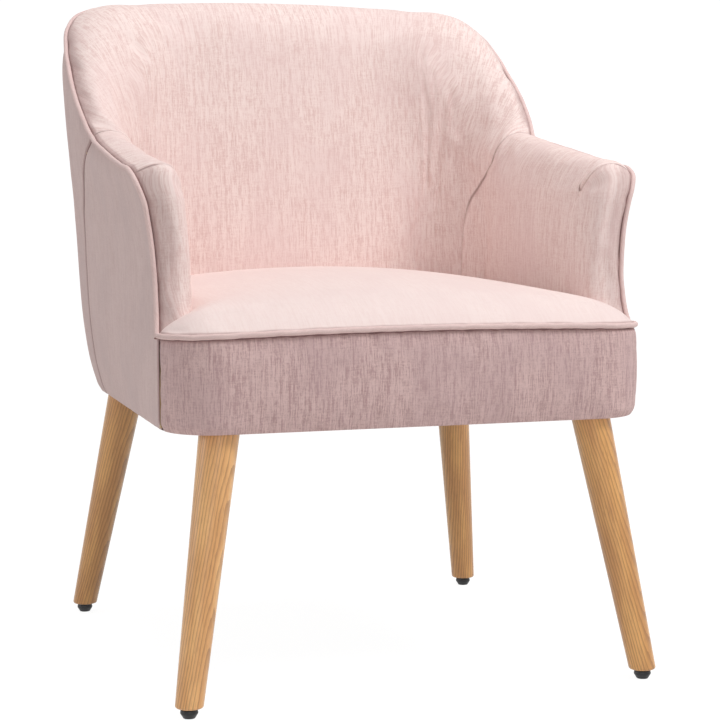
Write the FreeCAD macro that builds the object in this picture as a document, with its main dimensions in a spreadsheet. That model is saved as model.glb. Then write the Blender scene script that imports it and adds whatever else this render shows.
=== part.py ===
"""Upholstered tub armchair, built as its real pieces in millimetres.

The chair stands on z = 0 with its front towards -Y, and it is symmetric about
the plane x = 0. Every driving size is a cell of the sheet Sizes, and sketches,
primitives and placements are bound to those cells by expressions.
"""
import FreeCAD, Part
import math
import os
import re

import Sketcher

V = FreeCAD.Vector

# Alias of each cell, its value in millimetres and what it sets.
SIZES = [
    # overall form of the tub, measured on its outer cloth
    ("half_width", 300, "half the width over the front of the arms"),
    ("crown_apex", 808, "height where the two halves of the crown line would meet"),
    ("crown_corner", 787, "height of the crown line at the sides"),
    ("crown_radius", 70, "rounding of the top corners"),
    ("crown_spread", 6, "crown outline beyond half_width at the sides"),
    ("crown_blend", 700, "large rounding in the middle of the crown"),
    # heights of the plan sections
    ("hem_level", 302, "lower edge of the cloth"),
    ("seat_level", 380, "section just under the seat"),
    ("waist_level", 450, "section just over the seat"),
    ("arm_level", 590, "arm height section"),
    ("crest_level", 820, "topmost section, above the crown"),
    # plan sections: how far each is drawn in from half_width, front and rear
    ("hem_tuck_front", 18, ""),
    ("hem_tuck_back", 44, ""),
    ("seat_tuck_front", 19, ""),
    ("seat_tuck_back", 22, ""),
    ("waist_tuck_front", 21, ""),
    ("waist_tuck_back", 13, ""),
    ("arm_tuck_front", 0, ""),
    ("arm_tuck_back", 10, ""),
    ("crest_tuck_front", -12, ""),
    ("crest_tuck_back", 2, ""),
    # plan sections: distance of the rear face behind the origin
    ("hem_rear", 280, ""),
    ("seat_rear", 284, ""),
    ("waist_rear", 287, ""),
    ("arm_rear", 297, ""),
    ("crest_rear", 313, ""),
    ("rear_corner", 108, "plan radius of the outer rear corners"),
    ("inner_corner", 95, "plan radius of the inner rear corners"),
    # thickness of the upholstery
    ("hem_arm_front", 46, ""),
    ("hem_arm_back", 20, ""),
    ("seat_arm_front", 45, ""),
    ("seat_arm_back", 38, ""),
    ("waist_arm_front", 43, ""),
    ("waist_arm_back", 46, ""),
    ("arm_arm_front", 53, ""),
    ("arm_arm_back", 50, ""),
    ("crest_arm_front", 54, ""),
    ("crest_arm_back", 46, ""),
    ("hem_back_pad", 88, ""),
    ("seat_back_pad", 91, ""),
    ("waist_back_pad", 91, ""),
    ("arm_back_pad", 83, ""),
    ("crest_back_pad", 60, ""),
    # side outline of arms and back
    ("seam_front", 225, "front seam of the outside arm, ahead of the origin"),
    ("seat_edge", 405, "height of the seat piping"),
    ("nose_front", 206, "front of the arm nose, ahead of the origin"),
    ("nose_low", 457, "height where the nose becomes upright"),
    ("arm_front_height", 588, "top of the arm at its front end"),
    ("nose_radius", 17, "rounding of the nose in side view"),
    ("kink_y", 78, "where the arm top turns up into the wing"),
    ("kink_height", 628, ""),
    ("seam_mid_y", 130, "arm to back seam, half way down"),
    ("seam_mid_height", 550, ""),
    ("seam_low_y", 146, "arm to back seam below the seat"),
    ("seam_low_height", 480, ""),
    ("wing_top_y", 243, "upper end of the straight wing edge"),
    ("wing_top_height", 768, ""),
    ("crest_front_y", 262, "front of the rounded crest"),
    ("crest_drop", 13, "how far the crest's front edge lies under its top"),
    ("crest_round", 16, "rounding of the crest's front edge"),
    # layers
    ("skin", 2, "cloth with its backing"),
    ("play", 0.3, "gap between neighbouring layers"),
    ("ply", 12, "bent plywood"),
    ("ply_drop", 25, "plywood edge under the outer profile"),
    ("plate_room", 2.4, "depth left for the joint plates behind the foam"),
    ("plate", 1.5, "steel joint plate"),
    ("cord", 6.8, "diameter of the welt cord"),
    ("cord_room", 7.5, "notch that the welt cord lies in"),
    ("sew_overrun", 6, "how far a cutting core passes its blank"),
    ("foam_level", 386.5, "underside of the foam"),
    # seat and front border
    ("seat_front", 287, "front border, ahead of the origin"),
    ("border_half", 281.5, "half width of the front border"),
    ("border_corner", 60, "plan radius of the border's corners"),
    ("foam_half", 234, "half width of the seat between the arms"),
    ("foam_rear", 191, "rear of the seat behind the origin"),
    ("foam_corner", 95, "plan radius of the seat's rear corners"),
    ("seat_side_height", 437, "seat height beside the arms"),
    ("seat_crown", 463, "seat height in the middle"),
    ("seat_lip", 432, "seat height a little behind the piping"),
    ("lip_run", 58, "distance of the lip behind the seat front"),
    ("padding", 9.4, "padding behind the front border"),
    # base frame
    ("frame_inset", 17, "frame inside the outer cloth"),
    ("rail", 22, "rail thickness"),
    ("rail_low", 305, "underside of the rails"),
    ("rail_top", 382, "top of the rails"),
    ("block_reach_x", 84, "length of the corner blocks along X"),
    ("block_reach_y", 84, "length of the corner blocks along Y"),
    ("web", 1.5, "webbing thickness"),
    ("web_band", 50, "webbing width"),
    ("web_pitch", 84, "spacing of the webbing bands"),
    ("web_shift", 25, "middle of the crosswise bands, ahead of the origin"),
    ("dust_low", 302.6, "underside of the dust cover"),
    # legs
    ("leg_top_level", 300, ""),
    ("leg_low_level", 11, ""),
    ("leg_top", 45, "leg diameter at the top"),
    ("leg_low", 31, "leg diameter at the bottom"),
    ("leg_rim", 2.5, "rounded lower rim"),
    ("front_top_x", 221, ""),
    ("front_top_y", 252, ""),
    ("front_foot_x", 268.5, ""),
    ("front_foot_y", 298, ""),
    ("rear_top_x", 224, ""),
    ("rear_top_y", 198, ""),
    ("rear_foot_x", 269, ""),
    ("rear_foot_y", 264, ""),
    ("washer", 2, "leg washer thickness"),
    ("washer_rim", 1, "washer radius beyond the leg's top"),
    # fasteners and glides
    ("bolt", 8, "hanger bolt diameter"),
    ("bolt_in_leg", 40, "bolt length inside the leg"),
    ("bolt_in_block", 44, "bolt length above the leg"),
    ("bolt_play", 0.1, "radial clearance of the bolt"),
    ("insert", 13, "threaded insert diameter"),
    ("insert_length", 22, ""),
    ("stem", 6, "glide stem diameter"),
    ("stem_play", 0.05, "radial running clearance of the stem"),
    ("stem_top", 30, "upper end of the stem"),
    ("stem_low", 3, "lower end of the stem, inside the pad"),
    ("sleeve", 9, "outer diameter of the threaded sleeve"),
    ("sleeve_top", 31, ""),
    ("glide_travel", 12, "room above the stem"),
    ("pad", 20, "glide pad diameter"),
    ("pad_foot", 13, "flat part of the pad on the floor"),
    ("pad_height", 8.8, ""),
    ("pad_edge", 5.6, "height of the pad's widest point"),
]

DOC = FreeCAD.newDocument("tub_armchair")
SHEET = DOC.addObject("Spreadsheet::Sheet", "Sizes")
for row, (alias, amount, note) in enumerate(SIZES, start=1):
    SHEET.set(f"A{row}", alias)
    SHEET.set(f"B{row}", str(amount))
    SHEET.set(f"C{row}", note)
    SHEET.setAlias(f"B{row}", alias)
DOC.recompute()

LEVELS = ("hem", "seat", "waist", "arm", "crest")
SIDES = {"left": -1, "right": 1}
ENDS = {"front": -1, "rear": 1}
FAR = 900  # beyond every piece, for cutting outlines
NODES = []


def bound(text):
    """Write each alias in an expression as a cell of the sheet."""
    return re.sub(r"[a-z][a-z_]+", lambda word: "Sizes." + word.group(), str(text))


def number(text):
    """Value of an expression in millimetres."""
    found = SHEET.evalExpression(bound(text))
    return float(getattr(found, "Value", found))


def keep(thing, label):
    """Name an object as a node of the chair."""
    thing.Label = label
    NODES.append(thing)
    return thing


def new_body(name):
    return DOC.addObject("PartDesign::Body", name)


def new_sketch(body, role, name, offset=None):
    """Sketch on an origin plane of its own body, lifted by an expression."""
    sketch = body.newObject("Sketcher::SketchObject", name)
    plane = next(item for item in body.Origin.OriginFeatures if item.Role == role)
    sketch.AttachmentSupport = (plane, [""])
    sketch.MapMode = "FlatFace"
    if offset is not None:
        sketch.setExpression(".AttachmentOffset.Base.z", bound(offset))
    return sketch


def bind(sketch, kind, references, text):
    """Add one dimension to a sketch and tie it to its expression."""
    index = sketch.addConstraint(Sketcher.Constraint(kind, *references, number(text)))
    sketch.setExpression(f"Constraints[{index}]", bound(text))


def draw_outline(sketch, corners):
    """Closed outline through corners (x, y) or (x, y, radius), as expressions."""
    points = [V(number(corner[0]), number(corner[1]), 0) for corner in corners]
    count = len(points)
    enter, leave, arcs = [], [], []
    for place, corner in enumerate(corners):
        here = points[place]
        radius = number(corner[2]) if len(corner) > 2 else 0
        back = (points[place - 1] - here).normalize()
        ahead = (points[(place + 1) % count] - here).normalize()
        half = math.acos(max(-1, min(1, back.dot(ahead)))) / 2
        reach = radius / math.tan(half) if radius else 0
        enter.append(here + back * reach)
        leave.append(here + ahead * reach)
        middle = None
        if radius:
            inward = (back + ahead).normalize()
            middle = here + inward * (radius / math.sin(half) - radius)
        arcs.append(middle)
    first = sketch.GeometryCount
    owners = []
    for place in range(count):
        if arcs[place] is not None:
            curve = Part.Arc(enter[place], arcs[place], leave[place])
            owners.append(("arc", place, sketch.addGeometry(curve, False)))
        following = (place + 1) % count
        line = Part.LineSegment(leave[place], enter[following])
        owners.append(("line", place, sketch.addGeometry(line, False)))
    for kind, place, index in owners:
        corner = corners[place]
        if kind == "arc":
            bind(sketch, "Radius", (index,), corner[2])
        elif len(corner) == 2:
            for axis, part in (("DistanceX", 0), ("DistanceY", 1)):
                if abs(number(corner[part])) > 0.01:
                    bind(sketch, axis, (-1, 1, index, 1), corner[part])
    return first


def draw_circle(sketch, x, y, diameter):
    """Circle with bound centre and diameter."""
    centre = V(number(x), number(y), 0)
    index = sketch.addGeometry(Part.Circle(centre, V(0, 0, 1), number(diameter) / 2), False)
    bind(sketch, "Diameter", (index,), diameter)
    for axis, text in (("DistanceX", x), ("DistanceY", y)):
        if abs(number(text)) > 0.01:
            bind(sketch, axis, (-1, 1, index, 3), text)


def pad(body, sketch, length, name):
    feature = body.newObject("PartDesign::Pad", name)
    feature.Profile = sketch
    feature.setExpression("Length", bound(length))
    return feature


def trim(body, role, corners, name):
    """Cut away, right through, all that lies outside a closed outline."""
    sketch = new_sketch(body, role, name + "_outline")
    frame = [(-FAR, -FAR), (FAR, -FAR), (FAR, 2 * FAR), (-FAR, 2 * FAR)]
    draw_outline(sketch, frame)
    draw_outline(sketch, corners)
    feature = body.newObject("PartDesign::Pocket", name)
    feature.Profile = sketch
    feature.Type = "ThroughAll"
    feature.SideType = "Symmetric"
    return feature


# ---------------------------------------------------------------- tub layers

def wall(level, face, depth):
    """One wall of a plan section, a depth inside the outer or the inner cloth."""
    width = f"half_width - {level}_tuck"
    if face == "outside":
        return {
            "front": f"({width}_front - ({depth}))",
            "back": f"({width}_back - ({depth}))",
            "rear": f"({level}_rear - ({depth}))",
            "radius": f"rear_corner - ({depth})",
        }
    return {
        "front": f"({width}_front - {level}_arm_front + ({depth}))",
        "back": f"({width}_back - {level}_arm_back + ({depth}))",
        "rear": f"({level}_rear - {level}_back_pad + ({depth}))",
        "radius": f"inner_corner + ({depth})",
    }


def half_width_at(side, y):
    """Half width of a wall at a place between the front seam and the rear."""
    share = f"(({y}) + seam_front) / ({side['rear']} + seam_front)"
    return f"({side['front']} + ({side['back']} - {side['front']}) * {share})"


def arm_section(level, outer, inner, sign, start, end):
    near = wall(level, *outer)
    far = wall(level, *inner)
    return [
        (f"{sign} * {half_width_at(near, start)}", start),
        (f"{sign} * {half_width_at(near, end)}", end),
        (f"{sign} * {half_width_at(far, end)}", end),
        (f"{sign} * {half_width_at(far, start)}", start),
    ]


def back_section(level, outer, inner, start):
    near = wall(level, *outer)
    far = wall(level, *inner)
    return [
        (f"-{half_width_at(near, start)}", start),
        (f"-{near['back']}", near["rear"], near["radius"]),
        (near["back"], near["rear"], near["radius"]),
        (half_width_at(near, start), start),
        (half_width_at(far, start), start),
        (far["back"], far["rear"], far["radius"]),
        (f"-{far['back']}", far["rear"], far["radius"]),
        (f"-{half_width_at(far, start)}", start),
    ]


def loft_sections(body, name, make_section):
    sketches = []
    for level in LEVELS:
        sketch = new_sketch(body, "XY_Plane", f"{name}_{level}", f"{level}_level")
        draw_outline(sketch, make_section(level))
        sketches.append(sketch)
    loft = body.newObject("PartDesign::AdditiveLoft", name + "_loft")
    loft.Profile = sketches[0]
    loft.Sections = sketches[1:]
    loft.Ruled = False
    return loft


ARM_SLOPE = "(kink_height - arm_front_height) / (kink_y + nose_front)"
WING_SLOPE = "(wing_top_height - kink_height) / (wing_top_y - kink_y)"
SEAM_LEAN = "(seam_mid_y - kink_y) / (kink_height - seam_mid_height)"


def seam_line(shift, low, drop, slope):
    """Side view of the arm to back seam, from the kink down to a level."""
    return [
        (f"kink_y + {SEAM_LEAN} * ({drop}) + ({shift})",
         f"kink_height - ({drop}) + {slope} * ({shift})"),
        (f"seam_mid_y + ({shift})", "seam_mid_height"),
        (f"seam_low_y + ({shift})", "seam_low_height"),
        (f"seam_low_y + ({shift})", low),
    ]


def arm_outline(low, drop, shift):
    """Side view of an arm layer, its edge a drop inside the outer profile."""
    nose = f"-nose_front + ({drop})"
    front = [("-seam_front + play", low)]
    if number(low) < number("seat_edge"):
        front.append(("-seam_front + play", "seat_edge - play"))
    return front + [
        (nose, "nose_low"),
        (nose, f"arm_front_height - ({drop})", "nose_radius"),
    ] + seam_line(shift, low, drop, ARM_SLOPE)


def back_outline(low, drop, shift):
    """Side view of a back layer, from the seam up the wing to the crest."""
    seam = seam_line(shift, low, drop, WING_SLOPE)
    return list(reversed(seam)) + [
        (f"wing_top_y + ({drop})", f"wing_top_height - ({drop})"),
        (f"crest_front_y + ({drop})", f"crown_apex - crest_drop - ({drop})", "crest_round"),
        (f"crest_front_y + crest_round + 2 * ({drop})", f"crown_apex - ({drop})"),
        (FAR, f"crown_apex - ({drop})"),
        (FAR, low),
    ]


def crown_outline(low, drop):
    """Front view of a back layer: the crown line and its round corners."""
    corner = f"crown_corner - ({drop})"
    radius = f"crown_radius - ({drop})"
    side = f"half_width + crown_spread - ({drop})"
    shoulder = f"{corner} - 1.2 * crown_radius"
    return [
        (f"-({side})", shoulder),
        (f"-({side})", corner, radius),
        (0, f"crown_apex - ({drop})", "crown_blend"),
        (side, corner, radius),
        (side, shoulder),
        (FAR / 2, shoulder),
        (FAR / 2, low),
        (-FAR / 2, low),
        (-FAR / 2, shoulder),
    ]


def arm_layer(name, side, outer, inner, low, drop="0", shift="-play / 2"):
    """Layer of one arm, lofted through the plan sections and trimmed in side view."""
    body = new_body(name)
    sign = SIDES[side]
    loft_sections(body, name, lambda level: arm_section(
        level, outer, inner, sign, "-seam_front - sew_overrun", "seam_low_y + 5 * sew_overrun"))
    trim(body, "YZ_Plane", arm_outline(low, drop, shift), name + "_side")
    return body


def back_layer(name, outer, inner, low, drop="0", shift="play / 2"):
    """Layer of the back, a U in plan, trimmed in side view and along its crown."""
    body = new_body(name)
    loft_sections(body, name, lambda level: back_section(
        level, outer, inner, "kink_y - 3 * sew_overrun"))
    trim(body, "YZ_Plane", back_outline(low, drop, shift), name + "_side")
    trim(body, "XZ_Plane", crown_outline(low, drop), name + "_crown")
    return body


def cut(name, base, tool):
    result = DOC.addObject("Part::Cut", name)
    result.Base = base
    result.Tool = tool
    return result


# Each wrapped layer is a blank less a core: face and depth of the blank's two
# walls, its edge drop, then the same of the core, and its underside.
UNDER = "foam_level - sew_overrun"
FOAM_FRONT = "skin + play + ply + plate_room"
WRAPPED = {
    "foam": {
        "blank": (("outside", "cord_room + play"), ("inside", "skin + play"), "skin + play"),
        "core": (("outside", "-sew_overrun"), ("outside", FOAM_FRONT), "ply_drop - play"),
    },
    "cover": {
        "blank": (("outside", "cord_room"), ("inside", "0"), "0"),
        "core": (("outside", "-sew_overrun"), ("inside", "skin"), "skin"),
    },
    "piping": {
        "blank": (("outside", "0"), ("outside", "cord"), "0"),
        "core": (("outside", "-sew_overrun"), ("outside", "cord + sew_overrun"), "cord"),
    },
}
LOW_OF = {"foam": "foam_level", "cover": "foam_level", "piping": "seat_edge + play"}


def wrapped_arm(kind, side, label):
    plan = WRAPPED[kind]
    low = LOW_OF[kind]
    blank = arm_layer(f"{kind}_blank_{side}", side, plan["blank"][0], plan["blank"][1],
                      low, plan["blank"][2])
    core = arm_layer(f"{kind}_core_{side}", side, plan["core"][0], plan["core"][1],
                     f"{low} - sew_overrun", plan["core"][2], "sew_overrun / 2")
    keep(cut(label, blank, core), label)


def wrapped_back(kind, label):
    plan = WRAPPED[kind]
    low = LOW_OF[kind] if kind != "piping" else "kink_height - 20 * cord"
    blank = back_layer(f"{kind}_blank_back", plan["blank"][0], plan["blank"][1],
                       low, plan["blank"][2])
    core = back_layer(f"{kind}_core_back", plan["core"][0], plan["core"][1],
                      f"{low} - sew_overrun", plan["core"][2], "-sew_overrun / 2")
    keep(cut(label, blank, core), label)


def build_tub():
    """Plywood shells, foam, covers, outside panels and welt of arms and back."""
    cloth = (("outside", "0"), ("outside", "skin"))
    board = (("outside", "skin + play"), ("outside", "skin + play + ply"))
    for side in SIDES:
        keep(arm_layer(f"outside_arm_{side}", side, *cloth, "hem_level", "cord_room"),
             f"outside_arm_{side}")
        keep(arm_layer(f"arm_ply_{side}", side, *board, "hem_level + skin", "ply_drop"),
             f"arm_ply_{side}")
        wrapped_arm("foam", side, f"arm_foam_{side}")
        wrapped_arm("cover", side, f"inside_arm_cover_{side}")
        wrapped_arm("piping", side, f"arm_piping_{side}")
    keep(back_layer("outside_back", *cloth, "hem_level", "cord_room"), "outside_back")
    keep(back_layer("back_ply", *board, "hem_level + skin", "ply_drop"), "back_ply")
    wrapped_back("foam", "back_foam")
    wrapped_back("cover", "inside_back_cover")
    wrapped_back("piping", "back_piping")


def build_joint_plates():
    """Flat steel plates across the seam, on the inner face of the plywood."""
    plates = []
    outer = ("outside", "skin + 2 * play + ply")
    inner = ("outside", "skin + 2 * play + ply + plate")
    for side, sign in SIDES.items():
        for place, level in (("low", "waist_level"), ("high", "waist_level + 60")):
            body = new_body(f"plate_{side}_{place}")
            loft_sections(body, body.Name, lambda tier: arm_section(
                tier, outer, inner, sign, "kink_y", "seam_low_y + 5 * sew_overrun"))
            trim(body, "YZ_Plane", [
                ("seam_low_y - 28", f"{level} - 14"),
                ("seam_low_y + 22", f"{level} - 14"),
                ("seam_low_y + 22", f"{level} + 14"),
                ("seam_low_y - 28", f"{level} + 14"),
            ], body.Name + "_cut")
            plates.append(body)
    group(plates, "joint_plates")


def group(pieces, label):
    """Several identical pieces that share one node."""
    holder = DOC.addObject("Part::Compound", label)
    holder.Links = pieces
    return keep(holder, label)


# ---------------------------------------------------------------- seat

def front_corners(inset, start):
    """Front outline of the seat, from its left side round to its right."""
    half = f"border_half - ({inset})"
    front = f"-seat_front + ({inset})"
    radius = f"border_corner - ({inset})"
    return [
        (f"-({half})", start),
        (f"-({half})", front, radius),
        (half, front, radius),
        (half, start),
    ]


def border_strip(name, near, far, low, high):
    """Upright strip that follows the seat's front, between two insets."""
    body = new_body(name)
    start = "-seam_front - play"
    outline = front_corners(near, start) + list(reversed(front_corners(far, start)))
    sketch = new_sketch(body, "XY_Plane", name + "_plan", low)
    draw_outline(sketch, outline)
    pad(body, sketch, f"({high}) - ({low})", name + "_pad")
    return keep(body, name)


def seat_block(name, grow, rise, low):
    """T-shaped seat with a crowned top; grow widens it and rise lifts its top."""
    body = new_body(name)
    inset = f"cord_room + play - ({grow})"
    half = f"foam_half + ({grow})"
    rear = f"foam_rear + ({grow})"
    shoulder = f"-seam_front - play + ({grow})"
    corners = front_corners(inset, shoulder) + [
        (half, shoulder),
        (half, rear, "foam_corner"),
        (f"-({half})", rear, "foam_corner"),
        (f"-({half})", shoulder),
    ]
    sketch = new_sketch(body, "XY_Plane", name + "_plan", low)
    draw_outline(sketch, corners)
    pad(body, sketch, f"seat_crown + 40 - ({low})", name + "_pad")
    front = "-seat_front"
    trim(body, "YZ_Plane", [
        (-FAR / 2, f"({low}) - sew_overrun"),
        (-FAR / 2, f"seat_edge - 1.5 * cord + ({rise})"),
        (f"{front} + cord", f"seat_edge - cord / 2 + ({rise})"),
        (f"{front} + lip_run", f"seat_lip + ({rise})", 120),
        (0, f"seat_crown + ({rise})", 600),
        (FAR / 2, f"seat_crown - 18 + ({rise})"),
        (FAR / 2, f"({low}) - sew_overrun"),
    ], name + "_side")
    trim(body, "XZ_Plane", [
        (-FAR / 2, f"({low}) - sew_overrun"),
        (-FAR / 2, f"seat_edge - 40 + ({rise})"),
        ("-border_half", f"seat_edge + 4 + ({rise})"),
        ("-foam_half", f"seat_side_height + ({rise})", 90),
        (0, f"seat_crown + 4 + ({rise})", 900),
        ("foam_half", f"seat_side_height + ({rise})", 90),
        ("border_half", f"seat_edge + 4 + ({rise})"),
        (FAR / 2, f"seat_edge - 40 + ({rise})"),
        (FAR / 2, f"({low}) - sew_overrun"),
    ], name + "_front")
    return body


def build_seat():
    """Foam, its cover, the padded front border and the piping between them."""
    keep(seat_block("seat_foam", "0", "0", "foam_level"), "seat_foam")
    blank = seat_block("cover_blank_seat", "0", "skin + play", "foam_level + sew_overrun")
    core = seat_block("cover_core_seat", "sew_overrun", "play", "foam_level")
    keep(cut("seat_cover", blank, core), "seat_cover")
    border_strip("front_border", "0", "skin", "hem_level", "seat_edge - cord / 2 - play")
    border_strip("front_padding", "skin + play", "skin + play + padding",
                 "hem_level + skin", "foam_level - play")
    build_seat_piping()


def build_seat_piping():
    """Welt cord along the top of the front border."""
    body = new_body("seat_piping")
    inset = "cord / 2 + play / 2"
    start = "-seam_front - play"
    path = new_sketch(body, "XY_Plane", "seat_piping_path", "seat_edge")
    left, low_left, low_right, right = front_corners(inset, start)
    half = number(right[0])
    front = number(low_left[1])
    radius = number(low_left[2])
    begin = number(start)
    lean = radius * (1 - math.sqrt(0.5))
    for geometry in (
        Part.LineSegment(V(-half, begin, 0), V(-half, front + radius, 0)),
        Part.Arc(V(-half, front + radius, 0), V(-half + lean, front + lean, 0),
                 V(-half + radius, front, 0)),
        Part.LineSegment(V(-half + radius, front, 0), V(half - radius, front, 0)),
        Part.Arc(V(half - radius, front, 0), V(half - lean, front + lean, 0),
                 V(half, front + radius, 0)),
        Part.LineSegment(V(half, front + radius, 0), V(half, begin, 0)),
    ):
        path.addGeometry(geometry, False)
    bind(path, "Radius", (1,), low_left[2])
    bind(path, "Radius", (3,), low_right[2])
    ring = new_sketch(body, "XZ_Plane", "seat_piping_ring", f"-({start})")
    draw_circle(ring, left[0], "seat_edge", "cord - play")
    pipe = body.newObject("PartDesign::AdditivePipe", "seat_piping_sweep")
    pipe.Profile = ring
    pipe.Spine = path
    keep(body, "seat_piping")


# ---------------------------------------------------------------- base frame

FRAME_FRONT = "(half_width - hem_tuck_front - frame_inset)"
FRAME_BACK = "(half_width - hem_tuck_back - frame_inset)"
FRAME_REAR = "(hem_rear - frame_inset)"
FRAME_FACE = "(seat_front - skin - play - padding - play)"


def frame_half(y, inset="0"):
    """Half width of the base frame at a place along Y."""
    share = f"(({y}) + seam_front) / (hem_rear + seam_front)"
    return f"({FRAME_FRONT} + ({FRAME_BACK} - {FRAME_FRONT}) * {share} - ({inset}))"


def prism(name, corners, low, high):
    body = new_body(name)
    sketch = new_sketch(body, "XY_Plane", name + "_plan", low)
    draw_outline(sketch, corners)
    pad(body, sketch, f"({high}) - ({low})", name + "_pad")
    return body


def drill(body, name, x, y, diameter, level, depth, upwards=False):
    """Round vertical hole cut down, or up, from a level."""
    before = body.Shape.Volume
    sketch = new_sketch(body, "XY_Plane", name + "_circle", level)
    draw_circle(sketch, x, y, diameter)
    hole = body.newObject("PartDesign::Pocket", name)
    hole.Profile = sketch
    hole.setExpression("Length", bound(depth))
    hole.Reversed = upwards
    DOC.recompute()
    if body.Shape.Volume > before - 1:
        raise RuntimeError(f"{body.Name}: {name} cuts nothing")


def build_base():
    """Rails and corner blocks; the blocks carry the legs."""
    front_block_end = f"(-{FRAME_FACE} + block_reach_y)"
    rear_block_end = f"({FRAME_REAR} - block_reach_y)"
    for side, sign in SIDES.items():
        prism_corners = [
            (f"{sign} * {frame_half('-seam_front')}", f"-{FRAME_FACE}",
             "border_corner - skin - padding - 3 * play"),
            (f"{sign} * {frame_half('-seam_front')}", "-seam_front"),
            (f"{sign} * {frame_half(front_block_end)}", front_block_end),
            (f"{sign} * {frame_half(front_block_end, 'block_reach_x')}", front_block_end),
            (f"{sign} * {frame_half(front_block_end, 'block_reach_x')}", f"-{FRAME_FACE}"),
        ]
        block = prism(f"corner_block_front_{side}", prism_corners, "rail_low", "rail_top")
        finish_block(block, "front", side)
        rear_corners = [
            (f"{sign} * {FRAME_BACK}", FRAME_REAR, "rear_corner - frame_inset - 4"),
            (f"{sign} * {frame_half(rear_block_end)}", rear_block_end),
            (f"{sign} * ({FRAME_BACK} - 1.35 * block_reach_x)", rear_block_end),
            (f"{sign} * ({FRAME_BACK} - 1.35 * block_reach_x)", FRAME_REAR),
        ]
        block = prism(f"corner_block_rear_{side}", rear_corners, "rail_low", "rail_top")
        finish_block(block, "rear", side)
        rail_start = f"({front_block_end} + play / 3)"
        rail_end = f"({rear_block_end} - play / 3)"
        rail = prism(f"side_rail_{side}", [
            (f"{sign} * {frame_half(rail_start)}", rail_start),
            (f"{sign} * {frame_half(rail_end)}", rail_end),
            (f"{sign} * {frame_half(rail_end, 'rail')}", rail_end),
            (f"{sign} * {frame_half(rail_start, 'rail')}", rail_start),
        ], "rail_low", "rail_top")
        keep(rail, f"side_rail_{side}")
    between_front = f"({frame_half(front_block_end, 'block_reach_x')} - play / 3)"
    between_rear = f"({FRAME_BACK} - 1.35 * block_reach_x - play / 3)"
    for name, half, face, inner in (
        ("front_rail", between_front, f"-{FRAME_FACE}", f"-{FRAME_FACE} + rail"),
        ("rear_rail", between_rear, FRAME_REAR, f"{FRAME_REAR} - rail"),
    ):
        rail = prism(name, [(f"-{half}", face), (half, face), (half, inner),
                            (f"-{half}", inner)], "rail_low", "rail_top")
        keep(rail, name)


def finish_block(block, end, side):
    """Bolt bore and insert seat in a corner block."""
    DOC.recompute()
    x, y = leg_top(end, side)
    drill(block, f"{block.Name}_bore", x, y, "bolt + 2 * bolt_play", "rail_low",
          "bolt_in_block + 4", True)
    drill(block, f"{block.Name}_seat", x, y, "insert + 2 * bolt_play", "rail_low",
          "insert_length + play", True)
    keep(block, block.Name)


def build_webbing():
    """Elastic bands, lengthwise under crosswise, and the dust cover below."""
    reach_front = f"({FRAME_FACE} - 3)"
    lengthwise = []
    for place in (-1.5, -0.5, 0.5, 1.5):
        band = DOC.addObject("Part::Box", "band_lengthwise")
        band.setExpression("Length", bound("web_band"))
        band.setExpression("Width", bound(f"{reach_front} + {FRAME_REAR} - 3"))
        band.setExpression("Height", bound("web"))
        band.setExpression(".Placement.Base.x", bound(f"{place} * web_pitch - web_band / 2"))
        band.setExpression(".Placement.Base.y", bound(f"-{reach_front}"))
        band.setExpression(".Placement.Base.z", bound("rail_top + play"))
        lengthwise.append(band)
    group(lengthwise, "webbing_lengthwise")
    crosswise = []
    for place in (-1.5, -0.5, 0.5, 1.5):
        middle = f"({place} * web_pitch - web_shift)"
        half = f"({frame_half(f'{middle} + web_band / 2')} - 3)"
        band = DOC.addObject("Part::Box", "band_crosswise")
        band.setExpression("Length", bound(f"2 * {half}"))
        band.setExpression("Width", bound("web_band"))
        band.setExpression("Height", bound("web"))
        band.setExpression(".Placement.Base.x", bound(f"-{half}"))
        band.setExpression(".Placement.Base.y", bound(f"{middle} - web_band / 2"))
        band.setExpression(".Placement.Base.z", bound("rail_top + 2 * play + web"))
        crosswise.append(band)
    group(crosswise, "webbing_crosswise")
    cover = prism("dust_cover", [
        (f"-{frame_half('-seam_front', '2')}", f"-{FRAME_FACE} + 2", "border_corner - 14"),
        (f"-({FRAME_BACK} - 2)", f"{FRAME_REAR} - 2", "rear_corner - frame_inset - 4"),
        (f"({FRAME_BACK} - 2)", f"{FRAME_REAR} - 2", "rear_corner - frame_inset - 4"),
        (frame_half("-seam_front", "2"), f"-{FRAME_FACE} + 2", "border_corner - 14"),
    ], "dust_low", "rail_low - play")
    DOC.recompute()
    for end in ENDS:
        for side in SIDES:
            x, y = leg_top(end, side)
            drill(cover, f"dust_hole_{end}_{side}", x, y, "insert", "dust_low", "skin + 2", True)
    keep(cover, "dust_cover")


# ---------------------------------------------------------------- legs

def leg_top(end, side):
    return f"{SIDES[side]} * {end}_top_x", f"{ENDS[end]} * {end}_top_y"


def leg_foot(end, side):
    return f"{SIDES[side]} * {end}_foot_x", f"{ENDS[end]} * {end}_foot_y"


def round_edges(body, base, level, radius, name):
    """Fillet the round edge that lies at a level."""
    DOC.recompute()
    height = number(level)
    found = []
    for index, edge in enumerate(base.Shape.Edges, start=1):
        box = edge.BoundBox
        if abs(box.ZMin - height) < 0.01 and abs(box.ZMax - height) < 0.01:
            found.append(f"Edge{index}")
    fillet = body.newObject("PartDesign::Fillet", name)
    fillet.Base = (base, found)
    fillet.setExpression("Radius", bound(radius))
    DOC.recompute()


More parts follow.
